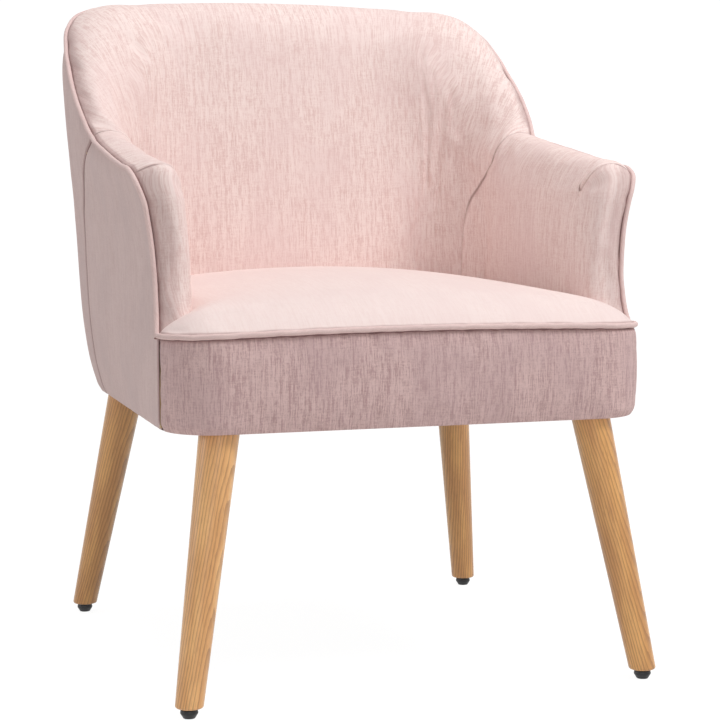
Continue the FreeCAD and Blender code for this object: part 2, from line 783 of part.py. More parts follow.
def build_leg(end, side):
    """Tapered leg with level ends, its bolt hole and its sleeve hole."""
    name = f"leg_{end}_{side}"
    body = new_body(name)
    top = new_sketch(body, "XY_Plane", name + "_top", "leg_top_level")
    draw_circle(top, *leg_top(end, side), "leg_top")
    low = new_sketch(body, "XY_Plane", name + "_low", "leg_low_level")
    draw_circle(low, *leg_foot(end, side), "leg_low")
    loft = body.newObject("PartDesign::AdditiveLoft", name + "_taper")
    loft.Profile = top
    loft.Sections = [low]
    round_edges(body, loft, "leg_low_level", "leg_rim", name + "_rim")
    drill(body, name + "_bolt_hole", *leg_top(end, side), "bolt + 2 * bolt_play",
          "leg_top_level", "bolt_in_leg + 2")
    drill(body, name + "_sleeve_hole", *leg_foot(end, side), "sleeve + 2 * bolt_play",
          "leg_low_level", "stem_top + glide_travel - leg_low_level", True)
    keep(body, name)


def turned(name, profile, x, y):
    """Body turned about a vertical axis that stands at x, y."""
    body = new_body(name)
    sketch = new_sketch(body, "XZ_Plane", name + "_profile")
    draw_outline(sketch, profile)
    turn = body.newObject("PartDesign::Revolution", name + "_turn")
    turn.Profile = sketch
    turn.ReferenceAxis = (sketch, ["V_Axis"])
    turn.Angle = 360
    body.setExpression(".Placement.Base.x", bound(x))
    body.setExpression(".Placement.Base.y", bound(y))
    return body


def ring(name, bore, outer, low, high, x, y):
    """Plain sleeve or washer about a vertical axis."""
    return turned(name, [
        (f"({bore}) / 2", low), (f"({outer}) / 2", low),
        (f"({outer}) / 2", high), (f"({bore}) / 2", high),
    ], x, y)


def rod(name, diameter, low, high, x, y):
    shaft = DOC.addObject("Part::Cylinder", name)
    shaft.setExpression("Radius", bound(f"({diameter}) / 2"))
    shaft.setExpression("Height", bound(f"({high}) - ({low})"))
    shaft.setExpression(".Placement.Base.x", bound(x))
    shaft.setExpression(".Placement.Base.y", bound(y))
    shaft.setExpression(".Placement.Base.z", bound(low))
    return shaft


def build_glide(end, side):
    """Pad moulded on a threaded stem; the stem runs in the leg's sleeve."""
    x, y = leg_foot(end, side)
    bore = "stem / 2 + stem_play / 2"
    pad_body = turned(f"glide_pad_{end}_{side}", [
        (0.0, 0.0), ("pad_foot / 2", 0.0), ("pad / 2", "pad_edge", "pad_edge / 2"),
        ("pad / 2 - 0.8", "pad_height"), (bore, "pad_height"),
        (bore, "stem_low - stem_play"), (0.0, "stem_low - stem_play"),
    ], x, y)
    keep(pad_body, f"glide_pad_{end}_{side}")
    keep(rod(f"glide_stem_{end}_{side}", "stem", "stem_low", "stem_top", x, y),
         f"glide_stem_{end}_{side}")


def build_legs():
    """Legs with their bolts, inserts, washers, sleeves and glides."""
    bolts, inserts, washers, sleeves = [], [], [], []
    for end in ENDS:
        for side in SIDES:
            build_leg(end, side)
            build_glide(end, side)
            top = leg_top(end, side)
            foot = leg_foot(end, side)
            bolts.append(rod(f"bolt_{end}_{side}", "bolt", "leg_top_level - bolt_in_leg",
                             "leg_top_level + bolt_in_block", *top))
            inserts.append(ring(f"insert_{end}_{side}", "bolt + 2 * bolt_play", "insert",
                                "rail_low", "rail_low + insert_length", *top))
            washers.append(ring(f"washer_{end}_{side}", "bolt + 2 * bolt_play",
                                "leg_top + 2 * washer_rim", "leg_top_level + play",
                                "leg_top_level + washer", *top))
            sleeves.append(ring(f"sleeve_{end}_{side}", "stem + 2 * stem_play", "sleeve",
                                "leg_low_level + play", "sleeve_top", *foot))
    group(bolts, "leg_bolts")
    group(inserts, "block_inserts")
    group(washers, "leg_washers")
    group(sleeves, "glide_sleeves")


def check_document():
    """Stop if any object failed or any node's shape is not sound."""
    for thing in DOC.Objects:
        if "Invalid" in thing.State or "Error" in thing.State:
            raise RuntimeError(f"{thing.Label}: {thing.State} {thing.getStatusString()}")
    for node in NODES:
        shape = node.Shape
        if shape.isNull() or not shape.isValid() or not shape.Solids:
            raise RuntimeError(f"{node.Label}: its shape is not sound")


build_legs()
build_base()
build_webbing()
build_seat()
build_joint_plates()
build_tub()
DOC.recompute()
check_document()
os.makedirs("parts", exist_ok=True)
for node in NODES:
    node.Shape.exportStep(f"parts/{node.Label}.step")
    volume = node.Shape.Volume / 1000
    print(f"{node.Label:28s} solids {len(node.Shape.Solids):2d}  {volume:9.1f} cm3")
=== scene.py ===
"""Looks of a piped tub armchair in blush woven cloth on turned splayed legs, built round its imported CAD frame.

Every length in the classes is in millimetres, in the frame's own axes: X across, Y to the rear, Z up. Meshes are
made in millimetres and turned to metres as they are built.
"""

import logging
import math
from dataclasses import dataclass
from enum import Enum

import bmesh
import bpy
import numpy as np
from mathutils import Matrix, Vector


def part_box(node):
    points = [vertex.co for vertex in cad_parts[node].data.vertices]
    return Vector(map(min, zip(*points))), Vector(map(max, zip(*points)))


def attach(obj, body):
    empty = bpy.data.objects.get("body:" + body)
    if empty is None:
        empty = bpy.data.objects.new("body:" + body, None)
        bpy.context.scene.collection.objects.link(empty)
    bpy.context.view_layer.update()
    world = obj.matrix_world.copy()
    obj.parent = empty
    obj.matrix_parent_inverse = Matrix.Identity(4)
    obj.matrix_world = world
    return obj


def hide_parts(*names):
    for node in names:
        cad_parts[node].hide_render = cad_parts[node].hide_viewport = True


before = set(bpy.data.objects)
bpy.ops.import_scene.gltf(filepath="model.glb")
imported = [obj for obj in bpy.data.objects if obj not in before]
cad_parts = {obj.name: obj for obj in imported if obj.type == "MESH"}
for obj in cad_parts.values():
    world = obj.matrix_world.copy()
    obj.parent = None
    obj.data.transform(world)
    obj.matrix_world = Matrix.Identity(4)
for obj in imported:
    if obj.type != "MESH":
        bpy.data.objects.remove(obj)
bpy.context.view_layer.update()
LOG = logging.getLogger("tub_chair")
MM = 0.001
Grid = np.ndarray


class Side(Enum):
    """The two sides of the chair, with the sign of their X."""

    LEFT = -1
    RIGHT = 1


class Slot(Enum):
    """Finishes that the record names."""

    UPHOLSTERY = "upholstery"
    ZINC = "zinc_steel"


# ---------------------------------------------------------------- lines and grids


def through(knots: Grid, values: Grid, at: Grid) -> Grid:
    """Reads a smooth line that passes through every knot.

    Args:
        knots: rising places of the knots.
        values: one number or one row of numbers for each knot.
        at: places to read, held inside the first and last knot.

    Returns:
        The values at those places.
    """
    knots, values = np.asarray(knots, float), np.asarray(values, float)
    flat = values.ndim == 1
    values = values[:, None] if flat else values
    at = np.asarray(at, float)
    place = np.clip(at, knots[0], knots[-1]).ravel()
    step = np.diff(knots)[:, None]
    rise = np.diff(values, axis=0) / step
    slope = np.empty_like(values)
    slope[1:-1] = (rise[1:] * step[:-1] + rise[:-1] * step[1:]) / (step[:-1] + step[1:])
    slope[0], slope[-1] = rise[0], rise[-1]
    i = np.clip(np.searchsorted(knots, place, side="right") - 1, 0, len(knots) - 2)
    span = step[i]
    t = (place - knots[i])[:, None] / span
    found = (
        (2 * t**3 - 3 * t**2 + 1) * values[i]
        + (t**3 - 2 * t**2 + t) * span * slope[i]
        + (3 * t**2 - 2 * t**3) * values[i + 1]
        + (t**3 - t**2) * span * slope[i + 1]
    )
    return found[:, 0].reshape(at.shape) if flat else found.reshape(*at.shape, values.shape[1])


def run_length(points: Grid) -> Grid:
    """Distance along a row of points from its first one."""
    return np.concatenate([[0.0], np.cumsum(np.linalg.norm(np.diff(points, axis=0), axis=1))])


def unit(vectors: Grid) -> Grid:
    """Vectors brought to length one."""
    return vectors / np.maximum(np.linalg.norm(vectors, axis=-1, keepdims=True), 1e-9)


def ease(value: Grid) -> Grid:
    """Smooth step from 0 to 1 of a value held between them."""
    value = np.clip(value, 0.0, 1.0)
    return value * value * (3 - 2 * value)


def spread(count: int, ends: float = 0.35) -> Grid:
    """Places from 0 to 1 that lie closer together near both ends.

    Args:
        count: number of gaps.
        ends: gap at the ends as a share of an even gap.

    Returns:
        count + 1 rising places.
    """
    even = np.linspace(0.0, 1.0, count + 1)
    return ends * even + (1 - ends) * ease(even)


def coons(low: Grid, high: Grid, start: Grid, end: Grid, along: Grid, up: Grid) -> Grid:
    """Fills a four-sided patch from its edges.

    Args:
        low: edge at up = 0, one point for each place along.
        high: edge at up = 1.
        start: edge at along = 0, one point for each place up.
        end: edge at along = 1.
        along: places along, 0 to 1.
        up: places up, 0 to 1.

    Returns:
        Grid of points, first index along, second up.
    """
    a, u = along[:, None, None], up[None, :, None]
    ruled = (1 - u) * low[:, None] + u * high[:, None] + (1 - a) * start[None] + a * end[None]
    corners = (1 - a) * ((1 - u) * start[0] + u * start[-1]) + a * ((1 - u) * end[0] + u * end[-1])
    return ruled - corners


def facing(points: Grid) -> Grid:
    """Unit normals of a grid of points, along crossed with up."""
    return unit(np.cross(np.gradient(points, axis=0), np.gradient(points, axis=1)))


def wavering(place: Grid, pitch: float, seed: float) -> Grid:
    """Irregular wave between about -1 and 1, the same in every run.

    Args:
        place: distances in millimetres.
        pitch: rough distance between two crests.
        seed: shifts the wave along.

    Returns:
        The wave's height at each place.
    """
    turn = 2 * math.pi * place / pitch
    return (np.sin(turn + seed) + 0.6 * np.sin(1.71 * turn + 2.3 * seed) + 0.4 * np.sin(2.63 * turn + 4.1 * seed)) / 1.6


# ---------------------------------------------------------------- meshes


@dataclass
class Sheet:
    """A grid of cloth points with the weave laid on it and the painted shade at its seams.

    Attributes:
        points: places in millimetres, [along, up, xyz].
        weave: place on the flat cloth in millimetres, [along, up, across and lengthwise].
        painted_shade: painted shade, 0 on open cloth to 1 in a seam; low values paint shade near the welts.
        sewn: True where the cloth is held.
    """

    points: Grid
    weave: Grid
    painted_shade: Grid
    sewn: Grid

    def turned(self) -> "Sheet":
        """The same sheet with its faces looking the other way."""
        return Sheet(self.points[::-1], self.weave[::-1], self.painted_shade[::-1], self.sewn[::-1])

    def mirrored(self) -> "Sheet":
        """The same sheet on the other side of the chair."""
        points = self.points[::-1] * (-1, 1, 1)
        weave = self.weave[::-1] * (-1, 1) + (0.37 * 1000, 0.11 * 1000)
        return Sheet(points, weave, self.painted_shade[::-1], self.sewn[::-1])


def sheet_from(points: Grid, weave: Grid, seams: Grid, reach: float = 3.0) -> Sheet:
    """Makes a sheet and marks its seams.

    Args:
        points: grid of places.
        weave: place of each on the flat cloth.
        seams: distance of each point from its nearest seam.
        reach: how far from a seam its shade fades.

    Returns:
        The sheet, held where it touches a seam.
    """
    return Sheet(points, weave, np.exp(-((seams / reach) ** 2)), seams < 0.6)


def build_cloth(name: str, sheets: list[Sheet], weld: float = 0.05) -> bpy.types.Object:
    """Joins sheets into one cloth mesh, welding them where they share an edge.

    Args:
        name: name of the piece.
        sheets: its sheets.
        weld: distance in millimetres under which points become one.

    Returns:
        The new object, linked to the scene, with its weave and painted shade stored on its points.
    """
    built = bmesh.new()
    # painted shade near seams and welts, stored on each point for the cloth's material
    weave = built.verts.layers.float_vector.new("weave")
    painted_shade = built.verts.layers.float.new("painted_shade")
    sewn = built.verts.layers.float.new("sewn")
    for sheet in sheets:
        rows, columns = sheet.points.shape[:2]
        made = []
        for i in range(rows):
            for j in range(columns):
                vertex = built.verts.new(sheet.points[i, j] * MM)
                vertex[weave] = (*(sheet.weave[i, j] * MM), 0.0)
                vertex[painted_shade] = float(sheet.painted_shade[i, j])
                vertex[sewn] = float(sheet.sewn[i, j])
                made.append(vertex)
        for i in range(rows - 1):
            for j in range(columns - 1):
                k = i * columns + j
                built.faces.new((made[k], made[k + columns], made[k + columns + 1], made[k + 1]))
    bmesh.ops.remove_doubles(built, verts=built.verts, dist=weld * MM)
    return finish_mesh(name, built)


def finish_mesh(name: str, built: bmesh.types.BMesh) -> bpy.types.Object:
    """Turns a bmesh into a smooth shaded object of the scene.

    Args:
        name: name of the piece.
        built: its mesh, freed here.

    Returns:
        The linked object.
    """
    mesh = bpy.data.meshes.new(name)
    built.to_mesh(mesh)
    built.free()
    mesh.shade_smooth()
    piece = bpy.data.objects.new(name, mesh)
    bpy.context.scene.collection.objects.link(piece)
    return piece


def build_tube(name: str, line: Grid, normal: Grid, radius: float, around: int = 10) -> bpy.types.Object:
    """Sweeps a cloth-covered cord along a line.

    Args:
        name: name of the piece.
        line: its centre points.
        normal: a direction roughly square to the line at each point.
        radius: radius of the covered cord.
        around: points round the cord.

    Returns:
        The cord's object, with weave and painted shade stored on its points.
    """
    along = unit(np.gradient(line, axis=0))
    out = unit(normal - along * np.sum(normal * along, axis=1, keepdims=True))
    aside = np.cross(along, out)
    run = run_length(line)
    turn = np.linspace(0, 2 * math.pi, around + 1)
    ring = radius * (np.cos(turn)[None, :, None] * out[:, None] + np.sin(turn)[None, :, None] * aside[:, None])
    points = line[:, None] + ring
    # the strip round a cord is cut on the bias, so its threads run slantwise
    across = np.broadcast_to(radius * turn[None, :], points.shape[:2])
    weave = np.stack([0.7 * run[:, None] + across, across - 0.7 * run[:, None]], axis=-1)
    none = np.zeros(points.shape[:2])
    return build_cloth(name, [Sheet(points, weave, none, none)])


def puff(piece: bpy.types.Object, pressure: float, slack: float, cap: float, frames: int = 14) -> None:
    """Fills a pad: its cloth is held at the sewn edges and blown out, then the result is kept.

    Args:
        piece: the pad.
        pressure: push of the filling.
        slack: share by which the cloth is cut larger than its filling.
        cap: furthest that a point may move, in millimetres.
        frames: steps of the simulation.
    """
    mesh = piece.data
    count = len(mesh.vertices)
    start = np.empty(count * 3)
    mesh.vertices.foreach_get("co", start)
    start = start.reshape(-1, 3)
    sewn = np.empty(count)
    mesh.attributes["sewn"].data.foreach_get("value", sewn)
    held = piece.vertex_groups.new(name="sewn_edge")
    held.add([int(i) for i in np.nonzero(sewn > 0.5)[0]], 1.0, "REPLACE")
    cloth = piece.modifiers.new("filling", "CLOTH")
    cloth.settings.vertex_group_mass = held.name
    cloth.settings.quality = 4
    cloth.settings.use_pressure = True
    cloth.settings.uniform_pressure_force = pressure
    cloth.settings.shrink_min = -slack
    cloth.settings.bending_stiffness = 2.0
    cloth.settings.effector_weights.gravity = 0.0
    cloth.collision_settings.use_collision = False
    cloth.point_cache.frame_start, cloth.point_cache.frame_end = 1, frames
    for step in range(1, frames + 1):
        bpy.context.scene.frame_set(step)
    moved = piece.evaluated_get(bpy.context.evaluated_depsgraph_get()).data
    end = np.empty(count * 3)
    moved.vertices.foreach_get("co", end)
    shift = end.reshape(-1, 3) - start
    size = np.maximum(np.linalg.norm(shift, axis=1, keepdims=True), 1e-9)
    kept = start + shift / size * cap * MM * np.tanh(size / (cap * MM))
    piece.modifiers.remove(cloth)
    piece.vertex_groups.remove(held)
    mesh.vertices.foreach_set("co", kept.ravel())
    mesh.update()
    bpy.context.scene.frame_set(1)
    LOG.info("%s filled, furthest point moved %.1f mm", piece.name, float(size.max()) / MM)


def soften(piece: bpy.types.Object, levels: int = 1) -> None:
    """Rounds a mesh by subdivision."""
    rounding = piece.modifiers.new("rounding", "SUBSURF")
    rounding.levels = rounding.render_levels = levels


# ---------------------------------------------------------------- finishes


def linear(colour: str) -> tuple[float, float, float, float]:
    """Turns an sRGB hex colour to the linear one that shaders take.

    Args:
        colour: six hex digits.

    Returns:
        Red, green, blue and an alpha of one.
    """
    parts = [int(colour[i:i + 2], 16) / 255 for i in (0, 2, 4)]
    return (*[c / 12.92 if c <= 0.04045 else ((c + 0.055) / 1.055) ** 2.4 for c in parts], 1.0)


def add_node(tree: bpy.types.NodeTree, kind: str, inputs: dict | None = None, **settings: object) -> bpy.types.Node:
    """Adds a node with its settings, values and links.

    Args:
        tree: node tree of the material.
        kind: node type after "ShaderNode".
        inputs: value, output socket or node (its first output) for each input, by name or number.
        settings: the node's own properties.

    Returns:
        The node.
    """
    made = tree.nodes.new("ShaderNode" + kind)
    for name, value in settings.items():
        setattr(made, name, value)
    for name, value in (inputs or {}).items():
        value = value.outputs[0] if isinstance(value, bpy.types.Node) else value
        if isinstance(value, bpy.types.NodeSocket):
            tree.links.new(value, made.inputs[name])
        else:
            made.inputs[name].default_value = value
    return made


@dataclass(frozen=True)
class WovenChenille:
    """Polyester and viscose cloth with uneven slub yarns, woven in two close shades.

    The eye sees soft matt cloth with fine lengthwise streaks, a faint crosswise thread, painted shade along each seam
    and near the welts. Its yarns are 0.6 mm apart, too fine to show, so the streaks are drawn 1.4 mm wide.

    Attributes:
        name: material and how it was made.
        pale: colour between the streaks.
        deep: colour of the streaks.
        cool: colour of broad patches where the nap lies the other way.
        streak: share of the deep colour in a streak.
        nap: depth of the relief in millimetres.
    """

    name: str
    pale: str = "ECD8D4"
    deep: str = "C79A95"
    cool: str = "DCC6C4"
    streak: float = 0.5
    nap: float = 0.5

    def material(self) -> bpy.types.Material:
        """Builds the cloth's material.

        Returns:
            The material.
        """
        made = bpy.data.materials.new(self.name)
        made.use_nodes = True
        tree = made.node_tree
        tree.nodes.clear()
        place = add_node(tree, "Attribute", attribute_name="weave").outputs["Vector"]
        # painted shade near seams and welts, read from the points
        painted_shade = add_node(tree, "Attribute", attribute_name="painted_shade").outputs["Fac"]
        # blotches of each thread in millimetres across, along and deep, then octaves and a shift
        threads = {
            "slub": (1.4, 17, 10, 3, 0), "long": (4, 80, 40, 2, 3.1), "weft": (11, 1.6, 10, 2, 7.7),
            "speck": (1.5, 2.2, 2, 2, 1.3), "cloud": (70, 110, 60, 2, 5.2),
        }
        noise = {}
        for thread, (across, along, deep, octaves, shift) in threads.items():
            spot = add_node(tree, "Mapping", {"Vector": place, "Location": (shift,) * 3,
                                              "Scale": [1 / (size * MM) for size in (across, along, deep)]})
            noise[thread] = add_node(tree, "TexNoise", {"Vector": spot, "Scale": 1.0, "Detail": octaves,
                                                        "Roughness": 0.6})
        # painted shade: low values of the shade attribute, set near the welts of the noses and wings, mix the cloth
        # toward a flat plum grey, so it looks darker and less streaked where those faces turn from the light
        pulled = add_node(tree, "MapRange", {0: painted_shade, 1: 0.03, 2: 0.24}, interpolation_type="SMOOTHSTEP")
        tone = height = 0.0
        for thread, weight in (("slub", 0.9), ("long", 0.5), ("weft", 0.28), ("speck", 0.35)):
            tone = add_node(tree, "Math", {0: noise[thread], 1: weight, 2: tone}, operation="MULTIPLY_ADD")
        for thread, weight in (("slub", 1.0), ("weft", 0.5), ("speck", 0.55)):
            height = add_node(tree, "Math", {0: noise[thread], 1: weight, 2: height}, operation="MULTIPLY_ADD")
        dark = add_node(tree, "MapRange", {0: tone, 1: 0.88, 2: 1.22, 4: self.streak}, interpolation_type="SMOOTHSTEP")
        # painted shade: the cloth deepens to plum brown where a seam holds shadow
        cloud = add_node(tree, "MapRange", {0: noise["cloud"], 1: 0.4, 2: 0.68, 4: 0.4}, interpolation_type="SMOOTHSTEP")
        # share of the plum grey painted shade
        drawn = add_node(tree, "MapRange", {0: pulled, 4: 0.58})
        shade = add_node(tree, "MapRange", {0: painted_shade, 1: 0.3, 2: 1.0, 4: 0.8}, interpolation_type="SMOOTHSTEP")
        colour = linear(self.pale)
        for share, second in ((dark, self.deep), (cloud, self.cool), (drawn, "A98886"), (shade, "6E4B4A")):
            colour = add_node(tree, "Mix", {0: share, 6: colour, 7: linear(second)}, data_type="RGBA").outputs[2]
        bump = add_node(tree, "Bump", {"Distance": self.nap * MM, "Height": height})
        shader = add_node(tree, "BsdfPrincipled", {
            "Base Color": colour, "Normal": bump, "Roughness": 0.88, "IOR": 1.46, "Specular IOR Level": 0.22,
            "Sheen Weight": 0.22, "Sheen Roughness": 0.45, "Sheen Tint": linear("F4E4E0")})
        add_node(tree, "OutputMaterial", {"Surface": shader})
        return made


@dataclass(frozen=True)
class LacqueredAsh:
    """Ash turned to a taper, stained honey and sprayed with satin lacquer.

    The eye sees long pale and dark growth lines that close into points where the taper cuts them, fine open pores
    along the grain and a soft highlight down the leg.

    Attributes:
        name: material and how it was made.
        foot: middle of the leg's lower end, in millimetres.
        top: middle of its upper end.
        turn: turn of the growth rings about the leg, in radians.
        pale: colour of the early wood.
        mid: its colour in darker streaks of the board.
        dark: colour of late wood and pores.
    """

    name: str
    foot: tuple[float, float, float]
    top: tuple[float, float, float]
    turn: float
    pale: str = "E4AC68"
    mid: str = "CD9458"
    dark: str = "8A5A34"

    def material(self) -> bpy.types.Material:
        """Builds the wood's material, its grain along the leg.

        Returns:
            The material.
        """
        made = bpy.data.materials.new(self.name)
        made.use_nodes = True
        tree = made.node_tree
        tree.nodes.clear()
        axis = Vector(self.top) - Vector(self.foot)
        lean = axis.to_track_quat("Z", "Y").to_matrix() @ Matrix.Rotation(self.turn, 3, "Z")
        place = add_node(tree, "TexCoord").outputs["Object"]
        moved = add_node(tree, "VectorMath", {0: place, 1: Vector(self.foot) * MM}, operation="SUBTRACT")
        rows = [add_node(tree, "VectorMath", {0: moved, 1: lean.col[i]}, operation="DOT_PRODUCT").outputs["Value"]
                for i in range(3)]
        along = add_node(tree, "CombineXYZ", {i: rows[i] for i in range(3)})
        figures = {"drift": (40, 160, 2, 0), "sway": (9, 60, 3, 2.2), "pore": (0.7, 15, 2, 4.4), "board": (18, 120, 2, 9.1)}
        noise = {}
        for figure, (across, length, octaves, shift) in figures.items():
            spot = add_node(tree, "Mapping", {"Vector": along, "Location": (shift,) * 3,
                                              "Scale": [1 / (size * MM) for size in (across, across, length)]})
            noise[figure] = add_node(tree, "TexNoise", {"Vector": spot, "Scale": 1.0, "Detail": octaves,
                                                        "Roughness": 0.6})
        # growth rings 3.4 mm apart, their centre 34 mm off and slanting across the leg
        offset = add_node(tree, "Math", {0: rows[2], 1: 0.085, 2: 0.034}, operation="MULTIPLY_ADD")
        x = add_node(tree, "Math", {0: rows[0], 1: offset}, operation="ADD")
        y = add_node(tree, "Math", {0: rows[1], 1: 0.55}, operation="MULTIPLY")
        flat = add_node(tree, "CombineXYZ", {0: x, 1: y})
        rings = add_node(tree, "VectorMath", {0: flat}, operation="LENGTH").outputs["Value"]
        rings = add_node(tree, "Math", {0: rings, 1: 1 / 0.0034, 2: 0.0}, operation="MULTIPLY_ADD")
        for figure, weight in (("drift", 2.2), ("sway", 1.0)):
            rings = add_node(tree, "Math", {0: noise[figure], 1: weight, 2: rings}, operation="MULTIPLY_ADD")
        ring = add_node(tree, "Math", {0: rings}, operation="FRACT")
        late = add_node(tree, "MapRange", {0: ring, 1: 0.4, 2: 0.97}, interpolation_type="SMOOTHSTEP")
        pores = add_node(tree, "MapRange", {0: noise["pore"], 1: 0.54, 2: 0.7}, interpolation_type="SMOOTHSTEP")
        board = add_node(tree, "MapRange", {0: noise["board"], 1: 0.35, 2: 0.65}, interpolation_type="SMOOTHSTEP")
        colour = linear(self.pale)
        for share, part, second in ((board, 1.0, self.mid), (late, 0.5, self.dark), (pores, 0.35, self.dark)):
            share = add_node(tree, "Math", {0: share, 1: part}, operation="MULTIPLY")
            colour = add_node(tree, "Mix", {0: share, 6: colour, 7: linear(second)}, data_type="RGBA").outputs[2]
        height = add_node(tree, "Math", {0: late, 1: -0.3, 2: 0.0}, operation="MULTIPLY_ADD")
        height = add_node(tree, "Math", {0: pores, 1: -1.0, 2: height}, operation="MULTIPLY_ADD")
        bump = add_node(tree, "Bump", {"Distance": 0.05 * MM, "Height": height})
        shader = add_node(tree, "BsdfPrincipled", {"Base Color": colour, "Normal": bump, "Roughness": 0.42, "IOR": 1.5,
                                                   "Coat Weight": 0.35, "Coat Roughness": 0.22})
        add_node(tree, "OutputMaterial", {"Surface": shader})
        return made


@dataclass(frozen=True)
class Plain:
    """A hidden or small finish: one colour pair in blotches of a real size, with matching relief.

    Attributes:
        name: material and how it was made.
        pale: lighter colour.
        deep: darker colour.
        size: blotch in millimetres along X, Y and Z.
        relief: depth in millimetres.
        roughness: of the surface.
        metallic: one for a metal.
    """

    name: str
    pale: str
    deep: str
    size: tuple[float, float, float]
    relief: float = 0.1
    roughness: float = 0.6
    metallic: float = 0.0

    def material(self) -> bpy.types.Material:
        """Builds the finish's material.

        Returns:
            The material.
        """
        made = bpy.data.materials.new(self.name)
        made.use_nodes = True
        tree = made.node_tree
        tree.nodes.clear()
        place = add_node(tree, "TexCoord").outputs["Object"]
        share, noise = 0.0, []
        for scale, weight, octaves in ((1, 0.6, 3), (9, 0.4, 2)):
            spot = add_node(tree, "Mapping", {"Vector": place, "Location": (0.3 * scale,) * 3,
                                              "Scale": [1 / (scale * size * MM) for size in self.size]})
            noise.append(add_node(tree, "TexNoise", {"Vector": spot, "Scale": 1.0, "Detail": octaves,
                                                     "Roughness": 0.6}))
            share = add_node(tree, "Math", {0: noise[-1], 1: weight, 2: share}, operation="MULTIPLY_ADD")
        share = add_node(tree, "MapRange", {0: share, 1: 0.36, 2: 0.64}, interpolation_type="SMOOTHSTEP")
        colour = add_node(tree, "Mix", {0: share, 6: linear(self.pale), 7: linear(self.deep)},
                          data_type="RGBA").outputs[2]
        rough = add_node(tree, "MapRange", {0: noise[1], 1: 0.3, 2: 0.7, 3: self.roughness - 0.06,
                                            4: self.roughness + 0.06})
        bump = add_node(tree, "Bump", {"Distance": self.relief * MM, "Height": noise[0]})
        shader = add_node(tree, "BsdfPrincipled", {"Base Color": colour, "Normal": bump, "Roughness": rough,
                                                   "Metallic": self.metallic})
        add_node(tree, "OutputMaterial", {"Surface": shader})
        return made


# one cloth in lit and shaded copies, as painted light and shade: the front border deeper and mauver, the outside panels
# greyer, the seat less streaked than the inside
INSIDE_CLOTH = WovenChenille("woven_chenille_inside", "F2DFDA", "C99C96", "E8CFCC", 0.5, 0.3)
SEAT_CLOTH = WovenChenille("woven_chenille_seat", "EEDCD8", "DFC3BE", "E8D3D0", 0.28, 0.2)
BORDER_CLOTH_PAINTED_SHADE = WovenChenille("woven_chenille_border", "D9BCB9", "A58283", "BFA2A3", 0.7, 0.55)
OUTSIDE_CLOTH_PAINTED_SHADE = WovenChenille("woven_chenille_outside", "DCC6C3", "BFA19E", "CDB8B7", 0.4, 0.3)
WELT_CLOTH = WovenChenille("woven_chenille_welt", "E6CCC8", "CBA8A4", "D8BEBC", 0.35, 0.3)
MOULDED_NYLON = Plain("black_nylon_moulded", "17171A", "0E0E10", (0.8, 0.8, 0.8), 0.03, 0.45)
ZINC_PLATE = Plain("steel_zinc_plated", "C3C6C8", "A3A8AC", (1.5, 1.5, 1.5), 0.01, 0.34, 1.0)
ELASTIC_WEB = Plain("elastic_webbing_woven", "2E2B2C", "6E6663", (1.2, 1.2, 1.2), 0.3, 0.85)
SPUN_CLOTH = Plain("polypropylene_spunbond", "201F20", "2F2D2E", (0.9, 0.9, 0.9), 0.12, 0.8)
CUT_FOAM = Plain("polyurethane_foam_cut", "E9E2C8", "D8CDA8", (1.4, 1.4, 1.4), 0.5, 0.9)
BENT_PLY = Plain("poplar_ply_bent", "D9BE94", "B99A6C", (1.2, 1.2, 20), 0.12, 0.65)
SAWN_BEECH = Plain("beech_sawn", "D2AC80", "B58C5F", (14, 1.3, 1.3), 0.2, 0.7)


def dress(piece: bpy.types.Object, material: bpy.types.Material) -> None:
    """Puts one material on every material slot of a piece."""
    if not piece.material_slots:
        piece.data.materials.append(material)
    for held in piece.material_slots:
        held.material = material


def settle(piece: bpy.types.Object, cloth: bpy.types.Material, nodes: list[str],
           levels: int = 1) -> None:
    """Finishes a piece: its cloth, its rounding, its body and the CAD nodes it stands for.

    Args:
        piece: the piece.
        cloth: its material.
        nodes: CAD nodes that it replaces.
        levels: subdivision levels.
    """
    dress(piece, cloth)
    if levels:
        soften(piece, levels)
    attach(piece, "root")
    if nodes:
        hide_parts(*nodes)
    LOG.info("%s: %d points", piece.name, len(piece.data.vertices))


# ---------------------------------------------------------------- the tub's form


